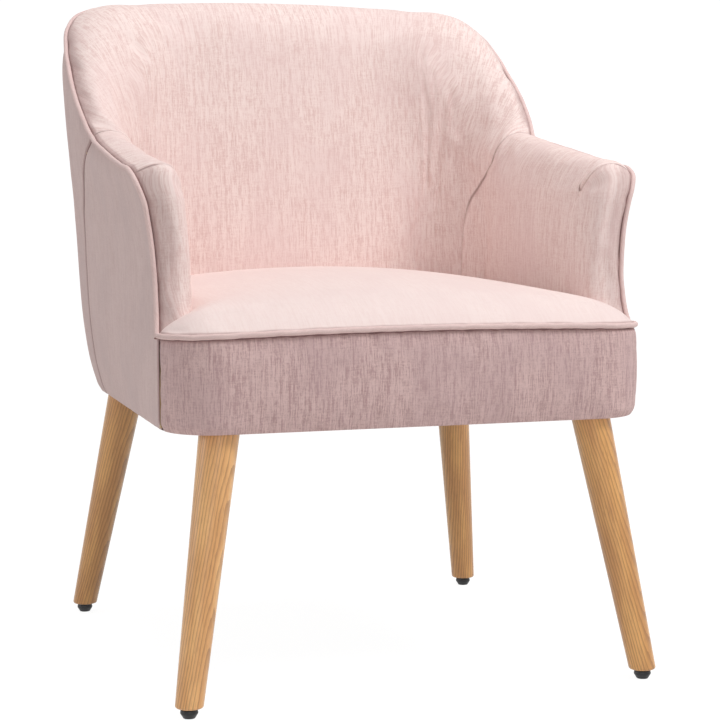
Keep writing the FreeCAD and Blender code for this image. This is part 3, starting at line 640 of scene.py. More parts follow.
@dataclass(frozen=True)
class TubForm:
    """The tub's walls by height, and the line where the cloth is sewn to its welt.

    Attributes:
        outer_front: half width outside at the front seam, as (height, value) pairs.
        outer_back: half width outside at the rear.
        outer_rear: Y of the outside back.
        inner_front: half width inside at the front.
        inner_back: half width inside at the rear.
        inner_rear: Y of the inside back.
        outer_corner: radius of the outside rear corners.
        inner_corner: radius of the inside rear corners, by height.
        front: Y of the front seam.
        sewn: the welt's line on one side, from the seat up the nose, along the arm, up the wing and to the crest.
        inside_seam: Y and Z of the seam between inside arm and inside back.
        outside_seam: Y and Z of the seam between outside arm and outside back.
    """

    outer_front: tuple = ((302, 282), (380, 281.3), (420, 279.8), (457, 278.4), (495, 280.8), (520, 285),
                          (547, 289.3), (562, 293.8), (580, 299.3), (600, 301.5), (660, 304), (820, 312))
    outer_back: tuple = ((302, 257), (340, 271), (380, 279.5), (450, 287.4), (520, 290), (590, 291.8), (650, 296),
                         (700, 298), (820, 300))
    outer_rear: tuple = ((302, 280.6), (380, 284.8), (450, 288), (520, 292), (590, 297.2), (650, 303.2), (700, 309),
                         (750, 312.6), (820, 313.6))
    inner_front: tuple = ((302, 236), (405, 237), (450, 236.5), (500, 237.5), (550, 242), (590, 247), (700, 252),
                          (820, 256))
    inner_back: tuple = ((302, 236), (380, 240), (450, 238), (545, 234), (610, 229), (700, 232), (820, 246))
    inner_rear: tuple = ((302, 192), (380, 193), (450, 196), (590, 214), (700, 232), (820, 253))
    outer_corner: float = 108.0
    inner_corner: tuple = ((302, 95), (450, 95), (600, 112), (720, 138), (820, 146))
    front: float = -225.0
    sewn: tuple = (
        (281.5, -224.8, 402), (279.8, -217, 417), (278.7, -210.8, 438), (278.4, -206.8, 457), (279.4, -204.9, 476),
        (280.8, -203.9, 495), (282.9, -203.2, 514), (285.9, -203.5, 533), (289, -204.2, 548), (294, -201.5, 562.5),
        (298.6, -193.5, 576), (300.2, -180, 583), (300.3, -150, 587.8), (299.6, -100, 595.3), (297, -30, 606.2),
        (292.8, 40, 616.7), (289.6, 70, 621.4), (289.4, 79, 623.6), (291.2, 88, 630.5), (294.4, 106, 647.2),
        (296.7, 128.7, 666.4), (297.2, 151.4, 685.4), (296.2, 173, 702), (292.2, 215, 736), (284, 247, 761),
        (268, 270, 778.5), (246, 286, 787.5), (200, 297, 793.5), (130, 302, 797.8), (60, 304.5, 800.2), (0, 305, 801),
    )
    inside_seam: tuple = ((155, 396), (155, 440), (154, 490), (151, 520), (143, 545), (129, 566), (110, 585),
                          (88, 600), (66, 610))
    outside_seam: tuple = ((146, 302), (146, 480), (140, 530), (124, 564), (104, 592), (86, 614), (79, 623.6))

    def at(self, pairs: tuple, z: Grid) -> Grid:
        """Value of one of the height tables at some heights."""
        table = np.array(pairs, float)
        return through(table[:, 0], table[:, 1], z)

    def side(self, y: Grid, z: Grid, inside: bool) -> Grid:
        """Half width of the straight part of a wall at places Y and Z."""
        near, far = (self.inner_front, self.inner_back) if inside else (self.outer_front, self.outer_back)
        rear = self.at(self.inner_rear if inside else self.outer_rear, z)
        share = (np.asarray(y) - self.front) / (rear - self.front)
        return self.at(near, z) * (1 - share) + self.at(far, z) * share

    def wall(self, run: Grid, z: Grid, inside: bool) -> Grid:
        """Point of a wall, by its distance from the middle of the back.

        Args:
            run: distance in plan from the middle of the back, negative on the left.
            z: height.
            inside: the inside wall, not the outside one.

        Returns:
            Points with X, Y and Z.
        """
        run, z = np.broadcast_arrays(np.asarray(run, float), np.asarray(z, float))
        rear = self.at(self.inner_rear if inside else self.outer_rear, z)
        radius = self.at(self.inner_corner, z) if inside else self.outer_corner
        width = self.side(rear - radius, z, inside)
        away = np.abs(run)
        straight = width - radius
        turn = np.clip((away - straight) / radius, 0, math.pi / 2)
        left = np.maximum(away - straight - radius * math.pi / 2, 0)
        y = rear - radius + radius * np.cos(turn) - left
        x = np.minimum(away, straight) + radius * np.sin(turn)
        x = np.where(left > 0, self.side(y, z, inside), x)
        return np.stack([np.sign(run) * x, y, z], axis=-1)

    def run_at(self, y: Grid, z: Grid, inside: bool) -> Grid:
        """Distance from the middle of the back of a place Y on one side, on its straight part or its corner."""
        y, z = np.asarray(y, float), np.asarray(z, float)
        rear = self.at(self.inner_rear if inside else self.outer_rear, z)
        radius = self.at(self.inner_corner, z) if inside else self.outer_corner
        straight = self.side(rear - radius, z, inside) - radius
        lift = np.clip((y - rear + radius) / radius, 0, 1)
        return straight + radius * (math.pi / 2 - np.arcsin(lift)) + np.maximum(rear - radius - y, 0)

    def nearest_run(self, points: Grid, inside: bool) -> Grid:
        """Distance from the middle of the back of the wall's place nearest to points outside its corner."""
        z = points[:, 2]
        rear = self.at(self.inner_rear if inside else self.outer_rear, z)
        radius = self.at(self.inner_corner, z) if inside else self.outer_corner
        straight = self.side(rear - radius, z, inside) - radius
        x, y = points[:, 0] - straight, points[:, 1] - rear + radius
        corner = straight + radius * np.arctan2(np.maximum(x, 0), np.maximum(y, 1e-6))
        return np.where(x < 0, points[:, 0], np.where(y < 0, straight + radius * math.pi / 2 - y, corner))

    def rim(self) -> tuple[Grid, Grid, float, float]:
        """The welt's line on one side.

        Returns:
            Its points, their distances along it, and the distances of the dart and of the kink.
        """
        knots = np.array(self.sewn, float)
        places = run_length(knots)
        run = np.linspace(0, places[-1], 700)
        line = through(places, knots, run)
        run = run_length(line)
        dart = run[np.argmin(np.abs(line[:, 2] - 579.5) + 1e3 * (line[:, 1] > -100))]
        kink = run[np.argmin(np.linalg.norm(line - (289.4, 79, 623.6), axis=1))]
        return line, run, float(dart), float(kink)


@dataclass(frozen=True)
class PadEdge:
    """How a pad leaves its welt, swells over the rail's thickness and rolls down its inner face.

    Attributes:
        lift: height that pulls the section up; the pad stands proud by about two thirds of it.
        drop: how far below the sewn line the roll runs out on the inner face.
        lean: how far inward the section's first pull lies, as a share of the thickness.
        steps: steps from the inner face to the welt.
    """

    lift: float
    drop: float
    lean: float = 0.22
    steps: int = 20

    def strip(self, edge: Grid, inner: Grid, out: Grid, lift: Grid, drop: Grid, shoulder: Grid) -> Grid:
        """Points of the strip between the welt and the inner face.

        Args:
            edge: sewn points, one for each station.
            inner: points of the inner face level with them.
            out: outward direction at each station; its length scales the lift and the drop.
            lift: lift at each station.
            drop: drop at each station.
            shoulder: 0 for a round section to 1 for one whose inner shoulder stands high.

        Returns:
            Grid of points, station by step, from the inner face to the welt.
        """
        gap = np.linalg.norm(inner - edge, axis=1)[:, None]
        inward = unit(inner - edge)
        even = np.linspace(1, 0, self.steps + 1)
        t = (0.55 * even + 0.45 * even ** 2)[None]
        first, second, third = 3 * (1 - t) ** 2 * t, 3 * (1 - t) * t ** 2, t ** 3
        w = gap * (self.lean * first + second + third)
        full = shoulder[:, None]
        h = ((1 - 0.35 * full) * first + (1.12 + 0.75 * full) * second) * lift[:, None] - third * drop[:, None] - 1.0 * (1 - t) ** 8
        return edge[:, None] + w[..., None] * inward[:, None] + h[..., None] * out[:, None]


@dataclass(frozen=True)
class Stations:
    """Sewn points with the inner points and outward directions that go with them."""

    edge: Grid
    inner: Grid
    out: Grid
    run: Grid

    def sunk(self, drop: Grid) -> Grid:
        """Where the strip runs out on the inner face."""
        return self.inner - self.out * drop[:, None]


@dataclass(frozen=True)
class Tub:
    """Everything that pads and panels share: the form, the rim and its stations.

    Attributes:
        form: walls and lines of the tub.
        floor: height at which inside cloth ends, under the seat.
    """

    form: TubForm = TubForm()
    floor: float = 398.0

    def rim_at(self, run: Grid) -> tuple[Grid, Grid]:
        """Sewn points and unit directions of the rim at distances along it."""
        line, places, _, _ = self.form.rim()
        point = np.stack([np.interp(run, places, line[:, k]) for k in range(3)], axis=-1)
        ahead = np.stack([np.interp(run + 3, places, line[:, k]) for k in range(3)], axis=-1)
        behind = np.stack([np.interp(run - 3, places, line[:, k]) for k in range(3)], axis=-1)
        return point, unit(ahead - behind)

    def level(self, point: Grid, shift: Grid) -> Grid:
        """Points of the inside wall level with sewn points, moved along Y by a shift."""
        y, z = point[:, 1] + shift, point[:, 2]
        return self.form.wall(self.form.run_at(y, z, True), z, True)

    def kink_out(self) -> Grid:
        """Outward direction at the kink between arm and wing."""
        _, _, _, kink = self.form.rim()
        _, before = self.rim_at(np.array([kink - 14]))
        _, after = self.rim_at(np.array([kink + 22]))
        out = unit(np.array([0, -before[0, 2], before[0, 1]])) + unit(np.array([0, -after[0, 2], after[0, 1]]))
        return unit(out)

    def nose(self, places: Grid) -> Stations:
        """Stations up the front of the arm, from the seat to the dart."""
        _, _, dart, _ = self.form.rim()
        run = dart * places
        point, along = self.rim_at(run)
        mitre = ease(1 - (dart - run) / 30)[:, None]
        out = unit(np.stack([0 * run, -along[:, 2], along[:, 1] * 0.4], axis=-1))
        out = out * (1 - mitre) + np.array([0, -1.0, 1.0]) * mitre
        return Stations(point, self.level(point, 0 * run), out, run)

    def top(self, places: Grid) -> Stations:
        """Stations along the top of the arm, from the dart to the kink."""
        _, _, dart, kink = self.form.rim()
        run = dart + (kink - dart) * places
        point, along = self.rim_at(run)
        mitre = ease(1 - (run - dart) / 30)[:, None]
        join = ease(1 - (kink - run) / 26)[:, None]
        out = unit(np.stack([0 * run, -along[:, 2], along[:, 1]], axis=-1))
        out = out * (1 - join) + self.kink_out() * join
        out = out * (1 - mitre) + np.array([0, -1.0, 1.0]) * mitre
        shift = -11 * ease(1 - (kink - run) / 60)
        return Stations(point, self.level(point, shift), out, run)

    def wing(self, places: Grid) -> Stations:
        """Stations up the wing and along the crest, from the kink to the middle of the back."""
        line, reach, _, kink = self.form.rim()
        run = kink + (reach[-1] - kink) * places
        point, along = self.rim_at(run)
        inner = self.form.wall(self.form.nearest_run(point, True), point[:, 2], True)
        join = ease(1 - (run - kink) / 45)[:, None]
        inner = inner * (1 - join) + self.level(point, np.full(len(run), -11.0)) * join
        out = unit(np.cross(inner - point, along))
        out = np.where(out[:, 2:3] < 0, -out, out)
        # averaged over about 35 mm, so that the cloth turns the upper corner without folding over itself
        weight = np.exp(-(((run[:, None] - run[None, :]) / 35) ** 2)) * np.gradient(run)[None, :]
        out = unit(weight @ out)
        near = ease(1 - (run - kink) / 30)[:, None]
        out = unit(out * (1 - near) + self.kink_out() * near)
        return Stations(point, inner, out, run)


TUB = Tub()


# ---------------------------------------------------------------- inside pads


def sink(points: Grid, distance: Grid, depth: float, reach: float) -> Grid:
    """Draws a grid's surface inward near a seam.

    Args:
        points: grid of places whose normals point away from the filling.
        distance: of each point from the seam.
        depth: how deep the seam lies.
        reach: how far from it the cloth starts to dip.

    Returns:
        The new grid.
    """
    return points - facing(points) * (depth * np.exp(-((distance / reach) ** 2)))[..., None]


def round_join(face: Grid, strip: Grid, hold: Grid, reach: int = 9, rounds: int = 40) -> tuple[Grid, Grid]:
    """Rounds the ridge where a rolled strip meets the face that it runs out on.

    Args:
        face: the face's grid, its last row on the join.
        strip: the strip's grid, its first row on the join.
        hold: share of the rounding at each station.
        reach: rows on either side that move.
        rounds: how often each row moves toward its neighbours.

    Returns:
        The face and the strip, still joined.
    """
    whole = np.concatenate([face, strip[:, 1:]], axis=1)
    middle = face.shape[1] - 1
    near = ease(1 - np.abs(np.arange(whole.shape[1]) - middle) / reach)[None, 1:-1, None] * hold[:, None, None]
    for _ in range(rounds):
        whole[:, 1:-1] += near * (0.25 * (whole[:, :-2] + whole[:, 2:]) - 0.5 * whole[:, 1:-1])
    return whole[:, :middle + 1], whole[:, middle:]


@dataclass(frozen=True)
class ArmPad:
    """Padded cloth of one arm: its nose, its top and its inside face, sewn along a dart at the front corner.

    Attributes:
        edge: how the pad crosses the arm's thickness.
        rows: steps up the inside face.
        columns: steps along it.
        bulge: how far the face swells at its middle.
        dart_depth: how deep the dart's seam lies.
        nose_painted_shade: share of painted shade over the front of the nose.
    """

    side: Side
    edge: PadEdge = PadEdge(15.0, 24.0)
    rows: int = 40
    columns: int = 64
    bulge: float = 4.0
    dart_depth: float = 0.7
    nose_painted_shade: float = 0.15

    def face(self, up: Grid, along: Grid, front_edge: Grid, top_edge: Grid) -> tuple[Grid, Grid]:
        """Fills the inside face between its edges.

        Args:
            up: places up the face, 0 to 1.
            along: places from the nose to the back, 0 to 1.
            front_edge: where the nose strip runs out.
            top_edge: where the top strip runs out.

        Returns:
            The face's points and each point's distance from the seam to the back.
        """
        form = TUB.form
        seam = np.array(form.inside_seam, float)
        heights = seam[0, 1] + (top_edge[-1, 2] - seam[0, 1]) * up
        seam_y = np.interp(heights, seam[:, 1], seam[:, 0])
        seam_y = seam_y + (top_edge[-1, 1] - seam_y[-1]) * ease((up - 0.7) / 0.3)
        rear = np.stack([0 * up, seam_y, heights], axis=-1)
        ends = np.stack([front_edge[0], rear[0]])
        low = np.stack([np.interp(along, [0, 1], ends[:, k]) for k in range(3)], axis=-1)
        plan = coons(low, top_edge, front_edge, rear, along, up)
        y, z = plan[..., 1], plan[..., 2]

        def off(edge: Grid) -> Grid:
            """How far an edge stands off the wall in X."""
            return (edge - form.wall(form.run_at(edge[..., 1], edge[..., 2], True), edge[..., 2], True))[..., 0]

        fade_a, fade_u = (1 - along)[:, None] ** 3, up[None, :] ** 3
        x = form.wall(form.run_at(y, z, True), z, True)[..., 0]
        x = x + off(front_edge)[None, :] * fade_a + off(top_edge)[:, None] * fade_u - off(front_edge)[-1] * fade_a * fade_u
        swell = np.sin(math.pi * along[:, None] ** 0.8) * np.sin(math.pi * np.clip(0.15 + 0.85 * up[None, :], 0, 1)) ** 0.7
        gap = (1 - along)[:, None] * (seam_y - front_edge[:, 1])[None, :]
        sunk = np.exp(-((gap / 7.0) ** 2)) * self.seam_depth(up)[None, :]
        points = np.stack([x - self.bulge * swell + sunk, y, z], axis=-1)
        # the dart draws the inner corner into a shallow dimple
        hollow = points[0, -1] + np.array([0, 9.0, -6.0])
        dimple = np.exp(-((np.linalg.norm(points - hollow, axis=-1) / 10.0) ** 2))
        return points + dimple[..., None] * np.array([3.4, 0.0, -0.8]), gap

    @staticmethod
    def seam_depth(up: Grid) -> Grid:
        """How deep the seam to the back lies, by place up the face: taut below, drawn in near the arm's top."""
        return 0.3 + 0.3 * ease((up - 0.55) / 0.25) - 0.5 * ease((up - 0.86) / 0.14)

    @staticmethod
    def seam_shade(gap: Grid, up: Grid) -> Grid:
        """Shade held in that seam."""
        depth = 0.08 + 0.2 * ease((up - 0.6) / 0.2) - 0.28 * ease((up - 0.88) / 0.12)
        return np.maximum(depth, 0)[None, :] * np.exp(-((gap / 2.0) ** 2))

    def sheets(self) -> list[Sheet]:
        """Lays out the pad's three sheets on the right-hand side."""
        up, along = spread(self.rows, 0.5), spread(self.columns, 0.4)
        nose, top = TUB.nose(up), TUB.top(along)
        lift_n, drop_n = np.full(len(up), self.edge.lift), np.full(len(up), self.edge.drop)
        toward = (top.run - top.run[0]) / (top.run[-1] - top.run[0])
        lift_t = self.edge.lift * (1 - 0.12 * ease(toward))
        drop_t = self.edge.drop + 12 * ease(toward)
        front_edge, top_edge = nose.sunk(drop_n), top.sunk(drop_t)
        face, gap = self.face(up, along, front_edge, top_edge)
        full_n = 0.35 + 0.65 * np.exp(-(((nose.run[-1] - nose.run) / 60) ** 2))
        full_t = np.exp(-(((top.run - top.run[0]) / 110) ** 2))
        front = self.pulled(self.edge.strip(nose.edge, nose.inner, nose.out, lift_n, drop_n, full_n), face[0])
        over = self.pulled(self.edge.strip(top.edge, top.inner, top.out, lift_t, drop_t, full_t), face[:, -1])
        hold = ease((top.run - top.run[0] - 6) / 16) * ease((top.run[-1] - top.run - 4) / 20)
        face, over = round_join(face, over, hold)
        turned, front = round_join(face[::-1].transpose(1, 0, 2), front, ease((nose.run[-1] - nose.run - 6) / 16), 6, 20)
        face = turned.transpose(1, 0, 2)[::-1]
        arc_f, arc_o = (np.stack([run_length(row) for row in strip]) for strip in (front, over))
        far_f, far_o = arc_f[:, -1:] - arc_f, arc_o[:, -1:] - arc_o
        dart_f = (nose.run[-1] - nose.run)[:, None] + 0 * far_f
        dart_o = (top.run - top.run[0])[:, None] + 0 * far_o
        sewn_dart = np.clip(far_f[-1] / 8, 0, 1) * (1 - ease((far_f[-1] - 22) / 14))
        slant = unit(np.array([0, -1.0, 1.0]))
        front = front - (self.dart_depth * np.exp(-((dart_f / 2.6) ** 2)) * sewn_dart)[..., None] * slant
        over = over - (self.dart_depth * np.exp(-((dart_o / 2.6) ** 2)) * sewn_dart)[..., None] * slant
        front[-1] += np.array([0, -0.1, -0.1])
        over[0] += np.array([0, 0.1, 0.1])
        front[:, 0], over[:, 0] = face[0], face[:, -1]
        left = (top.run[-1] - top.run)[:, None]
        over[:, 1:] -= (ease(1 - left / 7) * 1.0)[..., None] * TUB.kink_out()
        weave_face = np.stack([face[..., 1], face[..., 2]], axis=-1)
        weave_front = np.stack([weave_face[0, :, 0][:, None] - arc_f, weave_face[0, :, 1][:, None] + 0 * arc_f], axis=-1)
        weave_over = np.stack([weave_face[:, -1, 0][:, None] + 0 * arc_o, weave_face[:, -1, 1][:, None] + arc_o], axis=-1)
        shade = self.seam_shade(gap, up)
        shade_f = np.maximum(np.exp(-((far_f / 5.6) ** 2)), 0.7 * np.exp(-((dart_f / 1.1) ** 2)) * sewn_dart)
        shade_o = np.maximum(np.exp(-((far_o / 5.6) ** 2)), 0.7 * np.exp(-((dart_o / 1.1) ** 2)) * sewn_dart)
        shade_o = np.maximum(shade_o, 0.2 * np.exp(-((left / 1.5) ** 2)))
        # painted shade over the nose's front, fading out from 20 to 38 mm from the welt
        shade_f = np.maximum(shade_f, self.nose_painted_shade * (1 - ease((far_f - 20) / 18)))
        sewn = (
            (gap < 0.6) | (up[None, :] < 0.02), (far_f < 0.6) | (up[:, None] < 0.02) | (dart_f < 0.6),
            (far_o < 0.6) | (dart_o < 0.6) | (left < 0.6),
        )
        laid = zip((face, front, over), (weave_face, weave_front, weave_over), (shade, shade_f, shade_o), sewn)
        return [Sheet(*parts).turned() for parts in laid]

    @staticmethod
    def pulled(strip: Grid, edge: Grid) -> Grid:
        """Moves a strip's inner end onto a line, fading over the strip."""
        fade = np.linspace(1, 0, strip.shape[1])[None, :, None] ** 1.5
        return strip + (edge - strip[:, 0])[:, None] * fade

    def build(self, cloth: bpy.types.Material) -> bpy.types.Object:
        """Builds, fills and dresses the pad."""
        name = "arm_pad_" + self.side.name.lower()
        sheets = self.sheets()
        if self.side is Side.LEFT:
            sheets = [sheet.mirrored() for sheet in sheets]
        piece = build_cloth(name, sheets)
        puff(piece, 2.0, 0.01, 2.4)
        side = self.side.name.lower()
        settle(piece, cloth, ["arm_foam_" + side, "inside_arm_cover_" + side])
        return piece


@dataclass(frozen=True)
class BackPad:
    """Padded cloth of the inside back with its wings and crest, one piece from arm seam to arm seam.

    Attributes:
        stations: steps from the kink to the middle of the back.
        rows: steps up the face.
        lift: pull of the edge section at the wing and at the crest.
        drop: where its roll runs out at the wing and at the crest.
        bulge: how far the face swells.
    """

    stations: int = 84
    rows: int = 60
    lift: tuple[float, float] = (17.0, 9.0)
    drop: tuple[float, float] = (44.0, 40.0)
    bulge: float = 6.0

    def sheets(self) -> list[Sheet]:
        """Lays out the face and the edge strip, left seam to right seam."""
        form = TUB.form
        places = np.linspace(0, 1, self.stations + 1)
        places = 0.45 * places + 0.55 * places ** 1.5
        wing = TUB.wing(places)
        away = wing.run - wing.run[0]
        crest = ease((places - 0.3) / 0.35)
        start = ease(1 - away / 60)
        arm = ArmPad.edge
        lift = (self.lift[0] * (1 - crest) + self.lift[1] * crest) * (1 - start) + arm.lift * 0.88 * start
        drop = (self.drop[0] * (1 - crest) + self.drop[1] * crest) * (1 - start) + (arm.drop + 12) * start
        top = wing.sunk(drop)
        join = ease(1 - away / 45)
        top_run = np.where(places > 0.9999, 0.0, form.nearest_run(top, True))
        top_run = top_run * (1 - join) + form.run_at(top[:, 1], top[:, 2], True) * join
        top = form.wall(top_run, top[:, 2], True)
        seam = np.array(form.inside_seam, float)
        up = spread(self.rows, 0.45)
        heights = seam[0, 1] + (top[0, 2] - seam[0, 1]) * up
        seam_y = np.interp(heights, seam[:, 1], seam[:, 0])
        seam_y = seam_y + (top[0, 1] - seam_y[-1]) * ease((up - 0.7) / 0.3)
        seam_run = form.run_at(seam_y, heights, True)
        low_run = top_run * (1 - (1 - seam_run[0] / top_run[0]) * top_run / top_run[0])
        # each column leaves the rolled edge square to it, then falls straight to the seat
        lead = 0.2 * (top[:, 2] - TUB.floor)
        middle_run = top_run + wing.out[:, 1] * (1 - ease(places / 0.7)) * lead
        middle_z = top[:, 2] - np.maximum(wing.out[:, 2], 0.5) * lead
        u = up[None, :]
        bend = ((1 - u) ** 2, 2 * u * (1 - u), u ** 2)
        run = bend[0] * low_run[:, None] + bend[1] * middle_run[:, None] + bend[2] * top_run[:, None]
        z = bend[0] * TUB.floor + bend[1] * middle_z[:, None] + bend[2] * top[:, 2][:, None]
        fade = np.clip(1 - places * 2.6, 0, 1)[:, None] ** 1.6
        run = run + (seam_run - run[0])[None, :] * fade
        z = z + (heights - z[0])[None, :] * fade
        wall = form.wall(run, z, True)
        out = facing(wall)
        out = out * np.sign(np.sum(out * (-0.3, -1.0, 0.0), axis=-1, keepdims=True))
        swell = np.sin(math.pi / 2 * np.clip((top_run[0] - top_run) / 200, 0, 1))[:, None]
        swell = swell * np.sin(math.pi * np.clip(0.2 + 0.8 * u, 0, 1)) ** 0.8
        gap = np.abs(run - seam_run[None, :]) + 1.0 * (places[:, None] > 0)
        gap[0] = 0
        groove = np.exp(-((gap / 7.0) ** 2)) * ArmPad.seam_depth(up)[None, :]
        face = wall + out * (self.bulge * swell - groove)[..., None]
        section = PadEdge(self.lift[0], self.drop[0], 0.16)
        strip = ArmPad.pulled(section.strip(wing.edge, wing.inner, wing.out, lift, drop, 0 * lift), face[:, -1])
        strip[:, 1:] -= (ease(1 - away / 7)[:, None] * 1.0)[..., None] * TUB.kink_out()
        face, strip = round_join(face, strip, ease((away - 4) / 30), 12, 70)
        arc = np.stack([run_length(row) for row in strip])
        far = arc[:, -1:] - arc
        weave_face = np.stack([run, z], axis=-1)
        # past the roll the cloth goes on straight, square to the edge it was rolled over
        weave_strip = np.stack([run[:, -1:] - arc * wing.out[:, 1:2], z[:, -1:] + arc * wing.out[:, 2:3]], axis=-1)
        shade = ArmPad.seam_shade(gap, up)
        shade_strip = np.maximum(np.exp(-((far / 5.6) ** 2)), 0.2 * np.exp(-((away[:, None] / 1.5) ** 2)))
        # painted shade on the wing's roll near the welt, where it faces away from the light: fading in from the kink
        # and out 190 to 250 mm along
        high = ease(away / 40) * (1 - ease((away - 190) / 60))
        shade_strip = np.maximum(shade_strip, 0.24 * np.exp(-((far / 20) ** 2)) * high[:, None])
        right = [Sheet(face, weave_face, shade, (gap < 0.6) | (u < 0.02)),
                 Sheet(strip, weave_strip, shade_strip, (far < 0.6) | (away[:, None] < 0.6))]
        left = [Sheet(s.points[::-1] * (-1, 1, 1), s.weave[::-1] * (-1, 1), s.painted_shade[::-1], s.sewn[::-1]) for s in right]
        return right + left

    def build(self, cloth: bpy.types.Material) -> bpy.types.Object:
        """Builds, fills and dresses the pad."""
        piece = build_cloth("inside_back_pad", self.sheets())
        face_out(piece)
        puff(piece, 2.0, 0.008, 2.6)
        settle(piece, cloth, ["back_foam", "inside_back_cover"])
        return piece


def face_out(piece: bpy.types.Object) -> None:
    """Turns every face of an open pad to the same side, away from its filling."""
    built = bmesh.new()
    built.from_mesh(piece.data)
    bmesh.ops.recalc_face_normals(built, faces=built.faces)
    toward = sum((f.normal.y * f.calc_area() for f in built.faces), 0.0)
    if toward > 0:
        bmesh.ops.reverse_faces(built, faces=built.faces)
    built.to_mesh(piece.data)
    built.free()


# ---------------------------------------------------------------- outside panels


@dataclass(frozen=True)
class OutsideArm:
    """Flat outside panel of one arm, from its front seam to the back panel's seam, turned under at the hem."""

    side: Side
    rows: int = 48
    columns: int = 56
    hem: float = 302.0
    turned: float = 16.0

    def sheets(self) -> list[Sheet]:
        """Lays out the panel on the right-hand side."""
        form = TUB.form
        line, run, dart, kink = form.rim()
        up, along = spread(self.rows, 0.4), spread(self.columns, 0.35)
        front_path = np.concatenate([
            np.array([(282.0, -225.2, z) for z in np.linspace(self.hem, 396, 20)]),
            TUB.rim_at(np.linspace(0, dart, 60))[0]])
        places = run_length(front_path)
        front = np.stack([np.interp(up * places[-1], places, front_path[:, k]) for k in range(3)], axis=-1)
        top = TUB.rim_at(dart + (kink - dart) * along)[0]
        seam = np.array(form.outside_seam, float)
        heights = self.hem + (top[-1, 2] - self.hem) * up
        rear_y = np.interp(heights, seam[:, 1], seam[:, 0])
        rear = form.wall(form.run_at(rear_y, heights, False), heights, False)
        rear = rear + (top[-1] - rear[-1]) * ease((up - 0.85) / 0.15)[:, None]
        low_y = front[0, 1] + (rear[0, 1] - front[0, 1]) * along
        low_z = np.full(len(along), self.hem)
        low = form.wall(form.run_at(low_y, low_z, False), low_z, False)
        low = low + (front[0] - low[0]) * (1 - along)[:, None] ** 3
        plain = coons(low, top, front, rear, along, up)
        y, z = plain[..., 1], plain[..., 2]

        def away(edge: Grid) -> Grid:
            """How far an edge stands off the wall in X."""
            return edge[:, 0] - form.wall(form.run_at(edge[:, 1], edge[:, 2], False), edge[:, 2], False)[:, 0]

        gap_top = (top[:, 2] - self.hem)[:, None] * (1 - up)[None, :]
        length = (rear_y - front[:, 1])[None, :]
        near_top, near_front = np.exp(-((gap_top / 17) ** 2)), np.exp(-((along[:, None] * length / 17) ** 2))
        x = form.wall(form.run_at(y, z, False), z, False)[..., 0]
        x = x + away(top)[:, None] * near_top + away(front)[None, :] * near_front - away(front)[-1] * near_top * near_front
        points = np.stack([x, y, z], axis=-1)
        gap_front, gap_rear = along[:, None] * length, (1 - along)[:, None] * length
        gap_low = (top[:, 2] - self.hem)[:, None] * up[None, :]
        gap = np.minimum(np.minimum(gap_front, gap_rear), gap_top)
        dip = 1.6 * np.exp(-((gap / 4.5) ** 2)) + 2.5 * np.exp(-((gap_low / 5.0) ** 2))
        # soft lengthwise drag where the cloth is pulled over the frame
        drag = 0.35 * wavering(y, 46, 1.0) * np.exp(-(((z - 430) / 120) ** 2))
        points[..., 0] += drag - dip
        weave = np.stack([y, z], axis=-1)
        under = np.stack([points[:, 0] + np.array([-k, 0, h]) for k, h in ((0.0, 0.0), (1.2, -1.0), (4, -1.6), (self.turned, -1.6))], axis=1)
        under[:, :, 0] = np.maximum(under[:, :, 0], 0)
        under = under[:, ::-1]
        weave_under = np.stack([np.broadcast_to(y[:, :1], under.shape[:2]), self.hem - np.array([self.turned, 4, 1.5, 0])[None, :] + 0 * y[:, :1]], axis=-1)
        body = sheet_from(points, weave, gap, 3.2)
        return [body, sheet_from(under, weave_under, np.full(under.shape[:2], 50.0))]

    def build(self, cloth: bpy.types.Material) -> bpy.types.Object:
        """Builds and dresses the panel."""
        name = "outside_arm_panel_" + self.side.name.lower()
        sheets = self.sheets()
        if self.side is Side.LEFT:
            sheets = [sheet.mirrored() for sheet in sheets]
        piece = build_cloth(name, sheets)
        settle(piece, cloth, ["outside_arm_" + self.side.name.lower()])
        return piece


